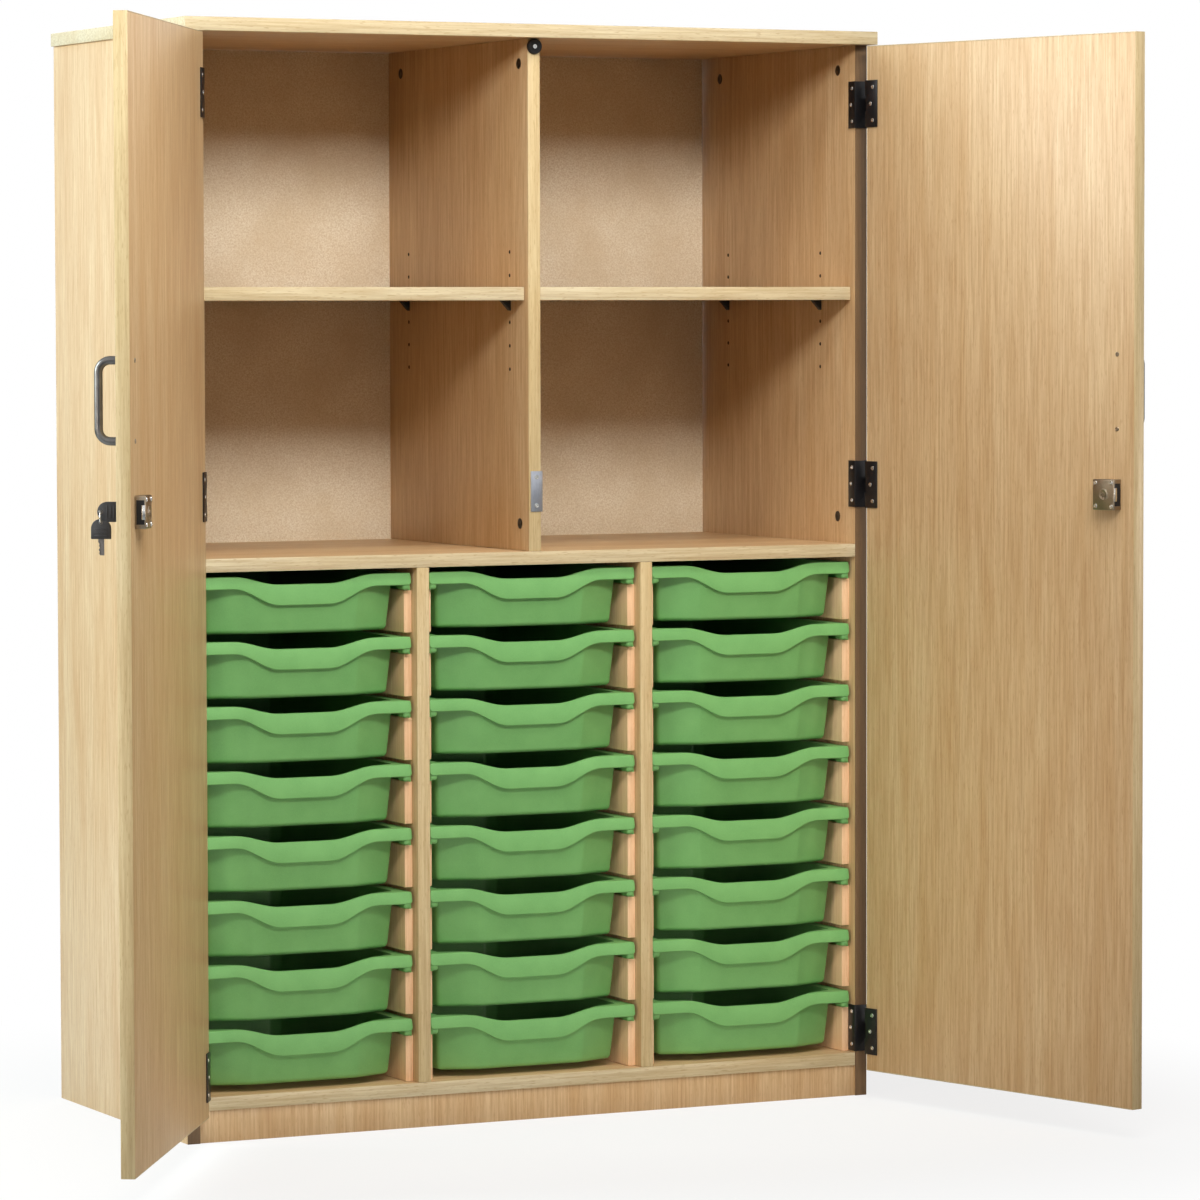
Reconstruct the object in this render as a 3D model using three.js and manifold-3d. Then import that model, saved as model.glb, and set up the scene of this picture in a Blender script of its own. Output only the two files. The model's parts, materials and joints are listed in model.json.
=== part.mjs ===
// Classroom tray storage unit: a beech-laminate cupboard with two adjustable shelves above, three columns
// of sliding trays below, and two overlay doors on wrap-round hinges, each with a handle and a rim lock.
// Millimetres, +Z up, the front faces -Y. The origin is on the floor, in the middle of the plinth's bottom.

import * as THREE from 'three';
import { mergeVertices } from 'three/addons/utils/BufferGeometryUtils.js';
import Module from 'manifold-3d';

const wasm = await Module();
wasm.setup();

// Carcass, with Y counted from the front plane of the side panels
const WIDTH = 1025;
const HEIGHT = 1490;
const DEPTH = 482;
const BOARD = 18;
const GAP = 0.3;
const OVERLAP = 1;
const SAME_POINT = 1e-4;
const TOP_OVERHANG_SIDE = 4;
const TOP_OVERHANG_FRONT = 24;
const PLINTH_SETBACK = 3;
const BASE_Z = 43;
const MID_SHELF_Z = 759;
const BACK_Y = 470;
const BACK_THICKNESS = 6;
const DIVIDER_SETBACK = 2;

// Adjustable shelves and the gusset supports they lie on
const SHELF_Z = 1118;
const SHELF_SIDE_GAP = 1.5;
const SHELF_FRONT = 12;
const SHELF_BACK = 466;
const SHELF_CORNER = 3;
const SUPPORT_REACH = 14;
const SUPPORT_WIDTH = 8;
const SIDE_SUPPORT_Y = [104, 388];
const DIVIDER_SUPPORT_Y = [62, 402];

// Trays: a moulded shell with a wavy lip in front and a hollow rail along each side
const COLUMNS = ['left', 'middle', 'right'];
const ROWS = 8;
const ROW_PITCH = 86.3;
const TOP_ROW_Z = 751.7;
const TRAY_FRONT = 8;
const TRAY_HALF = 154.5;
const TRAY_LENGTH = 427;
const TRAY_HEIGHT = 75;
const TRAY_WALL = 2.2;
const RIM = 3;
const RAIL_STEP = 0.2;
const RAIL_DEPTH = 23.6;
const BODY_HALF = 135;
const BODY_BACK = 420;
const BODY_FRONT = 5;
const PANEL_HALF = 79;
const FACET_BACK = 25;
const BACK_CORNER = 12;
const BODY_TAPER_X = 129 / 135;
const BODY_TAPER_Y = 0.985;
const FRONT_DRAFT = 5;
const LIP_THICKNESS = 6;
const LIP_DEPTH_END = 16.6;
const LIP_DIP = 11.5;
const LIP_DEPTH_MIDDLE = 28;
const WAVE_INNER = 36;
const WAVE_OUTER = 104;
const WAVE_STEPS = 6;
const LIP_CORNER = 5;
const NUB_WIDTH = 12;
const NUB_LENGTH = 24;
const HEADROOM = 5;
const RAIL_CLEARANCE = 0.4;

// Runner blocks: each pair of blocks leaves a groove for the tray's rail
const RUNNER_THICKNESS = 11;
const RUNNER_FRONT = 19;
const RUNNER_BACK = 440;

// Doors, with X counted inwards from the hinge pin and Y backwards from it
const DOOR_BOTTOM = 40;
const DOOR_TOP = 1469.6;
const DOOR_GAP = 4.2;
const MEETING_GAP = 1.6;
const PIN_OUTSIDE = 2;
const PIN_TO_DOOR_FACE = 3.6;
const LEFT_DOOR_ANGLE = 122;
const RIGHT_DOOR_ANGLE = 105;

// Hinges
const HINGE_LENGTH = 65;
const HINGE_CENTRES = { top: 1389.5, middle: 861, bottom: 95.5 };
const LEAF = 1.5;
const FRAME_LEAF_DEPTH = 17.5;
const DOOR_LEAF_REACH = 22;
const BARREL_RADIUS = 3.4;
const PIN_RADIUS = 1.6;
const KNUCKLE_BORE = 2.05;
const KNUCKLE_PLAY = 0.5;
const KNUCKLE_SIDES = 10;
const PIN_SIDES = 8;
const FINGER_FROM_PIN = 0.2;

// Handles: a round bar bent to a D
const HANDLE_FROM_HINGE_EDGE = 480;
const HANDLE_CENTRE_Z = 995;
const HANDLE_SPACING = 100;
const HANDLE_BAR = 10.5;
const HANDLE_PROJECTION = 33;
const HANDLE_BEND = 15;
const HANDLE_STEPS = 20;
const HANDLE_SIDES = 8;

// Rim locks, their bolts, the key, the strike plate and the door buffer
const LOCK_FROM_HINGE_EDGE = 468.5;
const LOCK_CENTRE_Z = 858.5;
const CASE_WIDTH = 39;
const CASE_HEIGHT = 41;
const CASE_DEPTH = 14;
const LOCK_SIDES = 14;
const LOCK_BORE = 9.2;
const BARREL_TUBE = 8.6;
const PLUG_BORE = 6.3;
const PLUG = 5.7;
const ROSETTE = 11;
const ROSETTE_THICKNESS = 2;
const BOLT_WIDTH = 18;
const BOLT_THICKNESS = 4.6;
const BOLT_PROUD = 1;
const BOLT_SLACK = 0.5;
const BOLT_BACK_WALL = 0.9;
const BLIND_END = 2;
const KEY_BOW = 25;
const KEY_BOW_ROUND = 9;
const KEY_BOW_STEPS = 6;
const KEY_BOW_THICKNESS = 6;
const KEY_NECK = 5;
const KEY_NECK_WIDTH = 8;
const KEY_NECK_THICKNESS = 2.4;
const STRIKE_HEIGHT = 55;
const STRIKE_LEFT = -6.6;
const STRIKE_RETURN = 16;
const MORTICE_CLEARANCE = 0.6;
const BUFFER_RADIUS = 10.5;
const BUFFER_Z = 1461;
const BUFFER_SIDES = 20;
const BUFFER_BEVEL = 2;
const BUFFER_DISH = 2.6;
const BUFFER_SCREW = 3;

// Worked out from the above
const HALF = WIDTH / 2;
const INNER = HALF - BOARD;
const UNDER_TOP = HEIGHT - BOARD;
const FRONT_Y = -(PLINTH_SETBACK + BOARD / 2);
const BAY = (WIDTH - 4 * BOARD) / 3;
const BAY_PITCH = BAY + BOARD;
const SHELF_TOP_OF_TRAYS = MID_SHELF_Z + BOARD;
const DOOR_CLEAR = PIN_OUTSIDE;
const DOOR_INNER_Y = PIN_TO_DOOR_FACE + BOARD;
const PIN_FORWARD = DOOR_GAP + DOOR_INNER_Y;
const PIN_X = HALF + PIN_OUTSIDE;
const CASE_Y = DOOR_INNER_Y + GAP;
const CASE_FREE_EDGE = DOOR_CLEAR + LOCK_FROM_HINGE_EDGE + CASE_WIDTH / 2;
const BOLT_BACK = CASE_Y + CASE_DEPTH - BOLT_BACK_WALL;
const BOLT_FRONT = BOLT_BACK - BOLT_THICKNESS;

// Finishes
const finish = (color, roughness, metalness = 0) =>
  new THREE.MeshStandardMaterial({ color, roughness, metalness });
const beech = finish('#d3b183', 0.5);
const hardboard = finish('#cdb491', 0.8);
const trayGreen = finish('#6fb067', 0.45);
const hingeBlack = finish('#17171a', 0.45, 0.4);
const brushedSteel = finish('#9a9a9c', 0.35, 1);
const lockNickel = finish('#a39a8c', 0.35, 1);
const blackPlastic = finish('#1b1b1d', 0.5);
const blackRubber = finish('#141416', 0.8);

// A three.js geometry as a solid that can be joined and cut, and back again
function solidOf(geometry) {
  const bare = geometry.clone();
  bare.deleteAttribute('normal');
  bare.deleteAttribute('uv');
  const merged = mergeVertices(bare, SAME_POINT);
  return new wasm.Manifold(new wasm.Mesh({
    numProp: 3,
    vertProperties: new Float32Array(merged.attributes.position.array),
    triVerts: new Uint32Array(merged.index.array),
  }));
}

function geometryOf(solid) {
  const { vertProperties, triVerts } = solid.getMesh();
  const geometry = new THREE.BufferGeometry();
  geometry.setAttribute('position', new THREE.BufferAttribute(new Float32Array(vertProperties), 3));
  geometry.setIndex(new THREE.BufferAttribute(new Uint32Array(triVerts), 1));
  geometry.computeVertexNormals();
  return geometry;
}

const joined = (solids) => solids.reduce((all, solid) => all.add(solid));

// A box between two corners
function box([xa, ya, za], [xb, yb, zb]) {
  const geometry = new THREE.BoxGeometry(Math.abs(xb - xa), Math.abs(yb - ya), Math.abs(zb - za));
  return solidOf(geometry.translate((xa + xb) / 2, (ya + yb) / 2, (za + zb) / 2));
}

// An outline drawn in plan, raised from one height to another
function planPrism(points, zLow, zHigh) {
  const shape = new THREE.Shape(points.map(([x, y]) => new THREE.Vector2(x, y)));
  const geometry = new THREE.ExtrudeGeometry(shape, { depth: zHigh - zLow, bevelEnabled: false });
  return geometry.translate(0, 0, zLow);
}

// An outline drawn in elevation (X across, Z up), carried from one Y to another
function frontPrism(points, yFront, yBack) {
  const shape = new THREE.Shape(points.map(([x, z]) => new THREE.Vector2(x, z)));
  const geometry = new THREE.ExtrudeGeometry(shape, { depth: yBack - yFront, bevelEnabled: false });
  return solidOf(geometry.rotateX(Math.PI / 2).translate(0, yBack, 0));
}

// An outline drawn from the side (Y across, Z up), carried from one X to another
function sidePrism(points, xLow, xHigh) {
  const shape = new THREE.Shape(points.map(([y, z]) => new THREE.Vector2(y, z)));
  const geometry = new THREE.ExtrudeGeometry(shape, { depth: xHigh - xLow, bevelEnabled: false });
  return solidOf(geometry.rotateX(Math.PI / 2).rotateZ(Math.PI / 2).translate(xLow, 0, 0));
}

// A round bar that stands upright
function uprightRod(x, y, radius, zLow, zHigh, sides) {
  const geometry = new THREE.CylinderGeometry(radius, radius, zHigh - zLow, sides);
  return solidOf(geometry.rotateX(Math.PI / 2).translate(x, y, (zLow + zHigh) / 2));
}

// A round bar on a lock's axis, from one Y to another
function lockRod(lockX, radius, yFront, yBack) {
  const geometry = new THREE.CylinderGeometry(radius, radius, yBack - yFront, LOCK_SIDES);
  return solidOf(geometry.translate(lockX, (yFront + yBack) / 2, LOCK_CENTRE_Z));
}

function piece(parent, name, solid, material) {
  const mesh = new THREE.Mesh(geometryOf(solid), material);
  mesh.name = name;
  parent.add(mesh);
}

const unit = new THREE.Group();
const cupboard = new THREE.Group();
cupboard.position.y = FRONT_Y;
unit.add(cupboard);

const rowTop = (row) => TOP_ROW_Z - row * ROW_PITCH;

// Runner blocks on one face of a board: one under each tray's rails, down to the groove below it
function runners(faceX, towards) {
  const root = faceX - towards * OVERLAP;
  const tip = faceX + towards * RUNNER_THICKNESS;
  const blocks = [];
  for (let row = 0; row < ROWS; row += 1) {
    const top = rowTop(row) - RAIL_DEPTH - RAIL_CLEARANCE;
    const bottom = row < ROWS - 1 ? rowTop(row + 1) + HEADROOM : BASE_Z + BOARD + GAP;
    blocks.push(box([root, RUNNER_FRONT, bottom], [tip, RUNNER_BACK, top]));
  }
  return blocks;
}

// A shelf support: a gusset that stands out of a board's face under the shelf
function supports(faceX, towards, places) {
  const top = SHELF_Z - GAP;
  const root = faceX - towards * OVERLAP;
  const gusset = [[root, top], [faceX + towards * SUPPORT_REACH, top], [faceX, top - SUPPORT_REACH],
    [root, top - SUPPORT_REACH]];
  return places.map((y) => frontPrism(gusset, y - SUPPORT_WIDTH / 2, y + SUPPORT_WIDTH / 2));
}

// Boards of the carcass
function buildCarcass() {
  for (const [name, side] of [['left', -1], ['right', 1]]) {
    const board = box([side * INNER, 0, 0], [side * HALF, DEPTH, UNDER_TOP - GAP]);
    const fittings = [...runners(side * INNER, -side), ...supports(side * INNER, -side, SIDE_SUPPORT_Y)];
    piece(cupboard, `side_panel_${name}`, joined([board, ...fittings]), beech);
  }
  const topHalf = HALF + TOP_OVERHANG_SIDE;
  const topBoard = box([-topHalf, -TOP_OVERHANG_FRONT, UNDER_TOP], [topHalf, DEPTH, HEIGHT]);
  piece(cupboard, 'top_panel', topBoard, beech);
  const reach = INNER - GAP;
  for (const [name, z] of [['base_panel', BASE_Z], ['mid_shelf', MID_SHELF_Z]]) {
    piece(cupboard, name, box([-reach, 0, z], [reach, BACK_Y - GAP, z + BOARD]), beech);
  }
  const plinthBack = PLINTH_SETBACK + BOARD;
  piece(cupboard, 'plinth', box([-reach, PLINTH_SETBACK, 0], [reach, plinthBack, BASE_Z - GAP]), beech);
  const sheet = box([-reach, BACK_Y, BASE_Z], [reach, BACK_Y + BACK_THICKNESS, UNDER_TOP - GAP]);
  piece(cupboard, 'back_panel', sheet, hardboard);
  for (const [name, side] of [['left', -1], ['right', 1]]) {
    const leftFace = (side * BAY_PITCH - BOARD) / 2;
    const rightFace = leftFace + BOARD;
    const board = box([leftFace, 0, BASE_Z + BOARD + GAP], [rightFace, BACK_Y - GAP, MID_SHELF_Z - GAP]);
    const strips = [...runners(leftFace, -1), ...runners(rightFace, 1)];
    piece(cupboard, `tray_divider_${name}`, joined([board, ...strips]), beech);
  }
}

// The upper divider has a mortice right through it for the two lock bolts
function buildUpperDivider() {
  const half = BOARD / 2;
  const low = SHELF_TOP_OF_TRAYS + GAP;
  const board = box([-half, DIVIDER_SETBACK, low], [half, BACK_Y - GAP, UNDER_TOP - GAP]);
  const gussets = [...supports(-half, -1, DIVIDER_SUPPORT_Y), ...supports(half, 1, DIVIDER_SUPPORT_Y)];
  const mortice = boltWay(-BOARD, BOARD, MORTICE_CLEARANCE);
  piece(cupboard, 'upper_divider', joined([board, ...gussets]).subtract(mortice), beech);
}

// The space that a thrown bolt passes through when its door is closed, with room round it
function boltWay(xLow, xHigh, room) {
  const front = BOLT_FRONT - PIN_FORWARD - room;
  const back = BOLT_BACK - PIN_FORWARD + room;
  const tall = BOLT_WIDTH / 2 + room;
  return box([xLow, front, LOCK_CENTRE_Z - tall], [xHigh, back, LOCK_CENTRE_Z + tall]);
}

// Adjustable shelves with eased front corners
function buildShelves() {
  const low = -INNER + SHELF_SIDE_GAP;
  const high = -BOARD / 2 - SHELF_SIDE_GAP;
  const c = SHELF_CORNER;
  const outline = [[low, SHELF_BACK], [low, SHELF_FRONT + c], [low + c, SHELF_FRONT],
    [high - c, SHELF_FRONT], [high, SHELF_FRONT + c], [high, SHELF_BACK]];
  for (const [name, side] of [['left', 1], ['right', -1]]) {
    const mirrored = outline.map(([x, y]) => [side * x, y]);
    piece(cupboard, `shelf_${name}`, solidOf(planPrism(mirrored, SHELF_Z, SHELF_Z + BOARD)), beech);
  }
}

// The lip's wave: 0 at the ends, falling smoothly to 1 in the middle
function waveAt(x) {
  const across = THREE.MathUtils.clamp((WAVE_OUTER - Math.abs(x)) / (WAVE_OUTER - WAVE_INNER), 0, 1);
  return (1 - Math.cos(Math.PI * across)) / 2;
}

function waveStations() {
  const right = [];
  for (let i = 0; i <= WAVE_STEPS; i += 1) {
    right.push(WAVE_INNER + (WAVE_OUTER - WAVE_INNER) * i / WAVE_STEPS);
  }
  return [...right.map((x) => -x).reverse(), ...right];
}

const lipTop = (x) => -LIP_DIP * waveAt(x);
const lipBottom = (x) => -LIP_DEPTH_END - (LIP_DIP + LIP_DEPTH_MIDDLE - LIP_DEPTH_END) * waveAt(x);

// Plan outline of the tray's body, drawn in by a wall's thickness for its inside
function trayOutline(inset) {
  const half = BODY_HALF - inset;
  const front = BODY_FRONT + inset;
  const back = BODY_BACK - inset;
  const panel = PANEL_HALF - inset / 2;
  const right = [[panel, front], [half, FACET_BACK + inset], [half, back - BACK_CORNER],
    [half - BACK_CORNER, back]];
  const left = right.map(([x, y]) => [-x, y]).reverse();
  return [...right, ...left];
}

// The body narrows from its rim to its base, and its front leans back a little more
function taperedBody(inset, zLow, zHigh) {
  const geometry = planPrism(trayOutline(inset), zLow, zHigh);
  const position = geometry.attributes.position;
  const middle = (BODY_FRONT + BODY_BACK) / 2;
  for (let i = 0; i < position.count; i += 1) {
    const share = -position.getZ(i) / TRAY_HEIGHT;
    const scaleX = 1 - share * (1 - BODY_TAPER_X);
    const scaleY = 1 - share * (1 - BODY_TAPER_Y);
    const fromMiddle = position.getY(i) - middle;
    const draft = fromMiddle < 0 ? share * FRONT_DRAFT : 0;
    position.setXY(i, position.getX(i) * scaleX, middle + fromMiddle * scaleY + draft);
  }
  return solidOf(geometry);
}

// One tray, with its rim at Z 0 and the face of its lip at Y 0
function traySolid() {
  const stations = waveStations();
  const end = TRAY_HALF;
  const c = LIP_CORNER;
  const above = stations.map((x) => [x, lipTop(x)]);
  const below = stations.map((x) => [x, lipBottom(x)]).reverse();
  const topEdge = [[-end, -c], [-end + c, 0], ...above, [end - c, 0], [end, -c]];
  const bottomEdge = [[end, -LIP_DEPTH_END], ...below, [-end, -LIP_DEPTH_END]];
  const apron = frontPrism([...topEdge, ...bottomEdge], 0, LIP_THICKNESS);
  const rail = end - RAIL_STEP;
  const foot = -RAIL_DEPTH;
  const under = -RAIL_STEP - RIM;
  const channel = [[-rail, -RAIL_STEP], [rail, -RAIL_STEP], [rail, foot], [rail - RIM, foot],
    [rail - RIM, under], [RIM - rail, under], [RIM - rail, foot], [-rail, foot]];
  const rimAndRails = frontPrism(channel, LIP_THICKNESS / 2, TRAY_LENGTH);
  const nubs = [-1, 1].map((side) => box(
    [side * (end - NUB_WIDTH), LIP_THICKNESS / 3, foot + RAIL_STEP],
    [side * (rail - RAIL_STEP), NUB_LENGTH, -RIM],
  ));
  const body = taperedBody(0, -TRAY_HEIGHT, -RIM / 2);
  const inside = taperedBody(TRAY_WALL, TRAY_WALL - TRAY_HEIGHT, OVERLAP);
  const overLip = [[-WAVE_OUTER, OVERLAP], ...above, [WAVE_OUTER, OVERLAP]];
  const scoop = frontPrism(overLip, -OVERLAP, FACET_BACK + BACK_CORNER);
  return joined([apron, rimAndRails, body, ...nubs]).subtract(inside).subtract(scoop);
}

function buildTrays() {
  const shared = traySolid();
  COLUMNS.forEach((column, index) => {
    for (let row = 0; row < ROWS; row += 1) {
      const slot = new THREE.Group();
      slot.position.set((index - 1) * BAY_PITCH, TRAY_FRONT, rowTop(row));
      cupboard.add(slot);
      piece(slot, `tray_${column}_${row + 1}`, shared, trayGreen);
    }
  });
}

// The frame leaf wraps from the panel's inner face round its front edge, and one finger reaches the barrel
function frameLeaf(side, centre) {
  const low = centre - HINGE_LENGTH / 2;
  const third = HINGE_LENGTH / 3;
  const inside = INNER - GAP;
  const outside = PIN_X - FINGER_FROM_PIN;
  const face = -GAP - LEAF;
  const wrap = [[inside, FRAME_LEAF_DEPTH], [inside, -GAP], [outside, -GAP], [outside, face],
    [inside - LEAF, face], [inside - LEAF, FRAME_LEAF_DEPTH]];
  const mirrored = wrap.map(([x, y]) => [side * x, y]);
  const knuckleLow = low + third + KNUCKLE_PLAY / 2;
  const knuckleHigh = low + 2 * third - KNUCKLE_PLAY / 2;
  const pinX = side * PIN_X;
  const finger = box(
    [side * (outside - LEAF), -GAP, knuckleLow],
    [side * outside, -PIN_FORWARD, knuckleHigh],
  );
  return joined([
    solidOf(planPrism(mirrored, low, low + HINGE_LENGTH)),
    finger,
    uprightRod(pinX, -PIN_FORWARD, BARREL_RADIUS, knuckleLow, knuckleHigh, KNUCKLE_SIDES),
    uprightRod(pinX, -PIN_FORWARD, PIN_RADIUS, low, low + HINGE_LENGTH, PIN_SIDES),
  ]);
}

// The door leaf lies on the door's inner face and wraps its edge to two hollow knuckles
function doorLeaf(side, centre) {
  const low = centre - HINGE_LENGTH / 2;
  const edge = DOOR_CLEAR - GAP;
  const faceBack = CASE_Y + LEAF;
  const far = -side * (DOOR_CLEAR + DOOR_LEAF_REACH);
  const high = low + HINGE_LENGTH;
  const span = HINGE_LENGTH / 3 - KNUCKLE_PLAY / 2;
  const solids = [box([-side * DOOR_CLEAR, CASE_Y, low], [far, faceBack, high])];
  for (const [a, b] of [[low, low + span], [high - span, high]]) {
    solids.push(box([-side * (edge - LEAF), 0, a], [-side * edge, faceBack, b]));
    solids.push(box([-side * (edge - LEAF), CASE_Y, a], [-side * (DOOR_CLEAR + OVERLAP), faceBack, b]));
    solids.push(uprightRod(0, 0, BARREL_RADIUS, a, b, KNUCKLE_SIDES));
  }
  const bore = uprightRod(0, 0, KNUCKLE_BORE, low - OVERLAP, high + OVERLAP, KNUCKLE_SIDES);
  return joined(solids).subtract(bore);
}

// A round bar bent to a D, standing on the door's outer face
function handleSolid(x) {
  const foot = PIN_TO_DOOR_FACE - GAP;
  const front = PIN_TO_DOOR_FACE - HANDLE_PROJECTION + HANDLE_BAR / 2;
  const low = HANDLE_CENTRE_Z - HANDLE_SPACING / 2;
  const high = HANDLE_CENTRE_Z + HANDLE_SPACING / 2;
  const at = (y, z) => new THREE.Vector3(x, y, z);
  const path = new THREE.CurvePath();
  const straight = (from, to) => path.add(new THREE.LineCurve3(from, to));
  const bend = (from, corner, to) => path.add(new THREE.QuadraticBezierCurve3(from, corner, to));
  const inner = front + HANDLE_BEND;
  straight(at(foot, low), at(inner, low));
  bend(at(inner, low), at(front, low), at(front, low + HANDLE_BEND));
  straight(at(front, low + HANDLE_BEND), at(front, high - HANDLE_BEND));
  bend(at(front, high - HANDLE_BEND), at(front, high), at(inner, high));
  straight(at(inner, high), at(foot, high));
  const corners = Array.from({ length: HANDLE_SIDES }, (_, i) => {
    const angle = 2 * Math.PI * (i + 0.5) / HANDLE_SIDES;
    return new THREE.Vector2(Math.cos(angle), Math.sin(angle)).multiplyScalar(HANDLE_BAR / 2);
  });
  const options = { steps: HANDLE_STEPS, extrudePath: path, bevelEnabled: false };
  return solidOf(new THREE.ExtrudeGeometry(new THREE.Shape(corners), options));
}

// The rim lock: a case on the inside, its barrel through the door and a rosette on the outside
function lockCase(side, lockX) {
  const low = LOCK_CENTRE_Z - CASE_HEIGHT / 2;
  const high = LOCK_CENTRE_Z + CASE_HEIGHT / 2;
  const half = CASE_WIDTH / 2;
  const block = box([lockX - half, CASE_Y, low], [lockX + half, CASE_Y + CASE_DEPTH, high]);
  const outer = PIN_TO_DOOR_FACE - GAP;
  const front = outer - ROSETTE_THICKNESS;
  const tube = lockRod(lockX, BARREL_TUBE, front, CASE_Y + OVERLAP);
  const rosette = lockRod(lockX, ROSETTE, front, outer);
  const plugBore = lockRod(lockX, PLUG_BORE, front - OVERLAP, BOLT_FRONT);
  const tall = BOLT_WIDTH / 2 + BOLT_SLACK;
  const channel = box(
    [-side * (CASE_FREE_EDGE - CASE_WIDTH + BLIND_END), BOLT_FRONT - GAP, LOCK_CENTRE_Z - tall],
    [-side * (CASE_FREE_EDGE + OVERLAP), BOLT_BACK + GAP, LOCK_CENTRE_Z + tall],
  );
  return joined([block, tube, rosette]).subtract(plugBore).subtract(channel);
}

function lockBolt(side) {
  const tail = CASE_FREE_EDGE - CASE_WIDTH + BLIND_END + BOLT_SLACK;
  const tip = CASE_FREE_EDGE + BOLT_PROUD;
  const low = LOCK_CENTRE_Z - BOLT_WIDTH / 2;
  return box([-side * tail, BOLT_FRONT, low], [-side * tip, BOLT_BACK, low + BOLT_WIDTH]);
}

// The lock's plug turns in the barrel
function lockPlug(lockX) {
  const front = PIN_TO_DOOR_FACE - GAP - ROSETTE_THICKNESS - GAP;
  return lockRod(lockX, PLUG, front, BOLT_FRONT - GAP - BOLT_SLACK);
}

// The key stands in the plug: a neck and a D-shaped bow, upright
function keySolid(lockX) {
  const root = PIN_TO_DOOR_FACE - ROSETTE_THICKNESS;
  const bowBack = root - KEY_NECK;
  const half = KEY_BOW / 2;
  const roundStart = bowBack - KEY_BOW + KEY_BOW_ROUND;
  const bow = [[bowBack, LOCK_CENTRE_Z - half], [bowBack, LOCK_CENTRE_Z + half]];
  for (let i = 0; i <= KEY_BOW_STEPS; i += 1) {
    const angle = Math.PI * i / KEY_BOW_STEPS;
    bow.push([roundStart - KEY_BOW_ROUND * Math.sin(angle), LOCK_CENTRE_Z + half * Math.cos(angle)]);
  }
  const thick = KEY_BOW_THICKNESS / 2;
  const neckThick = KEY_NECK_THICKNESS / 2;
  const neckHalf = KEY_NECK_WIDTH / 2;
  const neck = box(
    [lockX - neckThick, bowBack - OVERLAP, LOCK_CENTRE_Z - neckHalf],
    [lockX + neckThick, root + OVERLAP, LOCK_CENTRE_Z + neckHalf],
  );
  return joined([lockPlug(lockX), neck, sidePrism(bow, lockX - thick, lockX + thick)]);
}

// Each door hangs in a group that turns about its hinge pin
function buildDoor(name, side, angle) {
  const door = new THREE.Group();
  door.position.set(side * PIN_X, -PIN_FORWARD, 0);
  door.rotation.z = side * THREE.MathUtils.degToRad(angle);
  cupboard.add(door);
  const lockX = -side * (DOOR_CLEAR + LOCK_FROM_HINGE_EDGE);
  const freeEdge = -side * (PIN_X - MEETING_GAP / 2);
  const hingeEdge = -side * DOOR_CLEAR;
  const leaf = box([hingeEdge, PIN_TO_DOOR_FACE, DOOR_BOTTOM], [freeEdge, DOOR_INNER_Y, DOOR_TOP]);
  const lockHole = lockRod(lockX, LOCK_BORE, PIN_TO_DOOR_FACE - OVERLAP, DOOR_INNER_Y + OVERLAP);
  piece(door, `door_${name}`, leaf.subtract(lockHole), beech);
  piece(door, `handle_${name}`, handleSolid(-side * (DOOR_CLEAR + HANDLE_FROM_HINGE_EDGE)), brushedSteel);
  for (const [place, centre] of Object.entries(HINGE_CENTRES)) {
    piece(cupboard, `hinge_frame_leaf_${name}_${place}`, frameLeaf(side, centre), hingeBlack);
    piece(door, `hinge_door_leaf_${name}_${place}`, doorLeaf(side, centre), hingeBlack);
  }
  piece(door, `lock_case_${name}`, lockCase(side, lockX), lockNickel);
  piece(door, `lock_bolt_${name}`, lockBolt(side), brushedSteel);
  if (side < 0) piece(door, 'lock_key_left', keySolid(lockX), blackPlastic);
  else piece(door, 'lock_plug_right', lockPlug(lockX), lockNickel);
}

// The strike plate covers the divider's front edge and returns along its right face, slotted for the bolt
function buildStrikePlate() {
  const front = DIVIDER_SETBACK - GAP - LEAF;
  const low = LOCK_CENTRE_Z - STRIKE_HEIGHT / 2;
  const faceX = BOARD / 2 + GAP;
  const outline = [[STRIKE_LEFT, front], [faceX + LEAF, front], [faceX + LEAF, STRIKE_RETURN],
    [faceX, STRIKE_RETURN], [faceX, front + LEAF], [STRIKE_LEFT, front + LEAF]];
  const plate = solidOf(planPrism(outline, low, low + STRIKE_HEIGHT));
  piece(cupboard, 'strike_plate', plate.subtract(boltWay(0, BOARD, MORTICE_CLEARANCE)), brushedSteel);
}

// The rubber buffer that both doors close on, with a dished face round its screw
function buildBuffer() {
  const back = DIVIDER_SETBACK - GAP;
  const front = -DOOR_GAP + 2 * GAP;
  const tall = back - front;
  const dish = tall - BUFFER_DISH;
  const profile = [[0, 0], [BUFFER_RADIUS, 0], [BUFFER_RADIUS, tall - BUFFER_BEVEL],
    [BUFFER_RADIUS - BUFFER_BEVEL, tall], [BUFFER_SCREW + OVERLAP, tall], [BUFFER_SCREW, dish], [0, dish]];
  const points = profile.map(([radius, height]) => new THREE.Vector2(radius, height));
  const geometry = new THREE.LatheGeometry(points, BUFFER_SIDES);
  const solid = solidOf(geometry.rotateX(Math.PI).translate(0, back, BUFFER_Z));
  piece(cupboard, 'door_buffer', solid, blackRubber);
}

buildCarcass();
buildUpperDivider();
buildShelves();
buildTrays();
buildDoor('left', -1, LEFT_DOOR_ANGLE);
buildDoor('right', 1, RIGHT_DOOR_ANGLE);
buildStrikePlate();
buildBuffer();

export default unit;
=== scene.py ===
# %% [markdown]
# # A classroom tray storage unit
# The frame holds every board, tray, door and lock at its real size, in metres, with the front facing -Y.
# This lesson dresses that frame: boards get edging and eased arrises, trays become thin moulded shells,
# and the hardware gets its screws. Each piece rides on the body that carries it, so every joint still works.

# %% Load the frame
import json
import math

import bmesh
import bpy
from mathutils import Matrix, Vector


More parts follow.
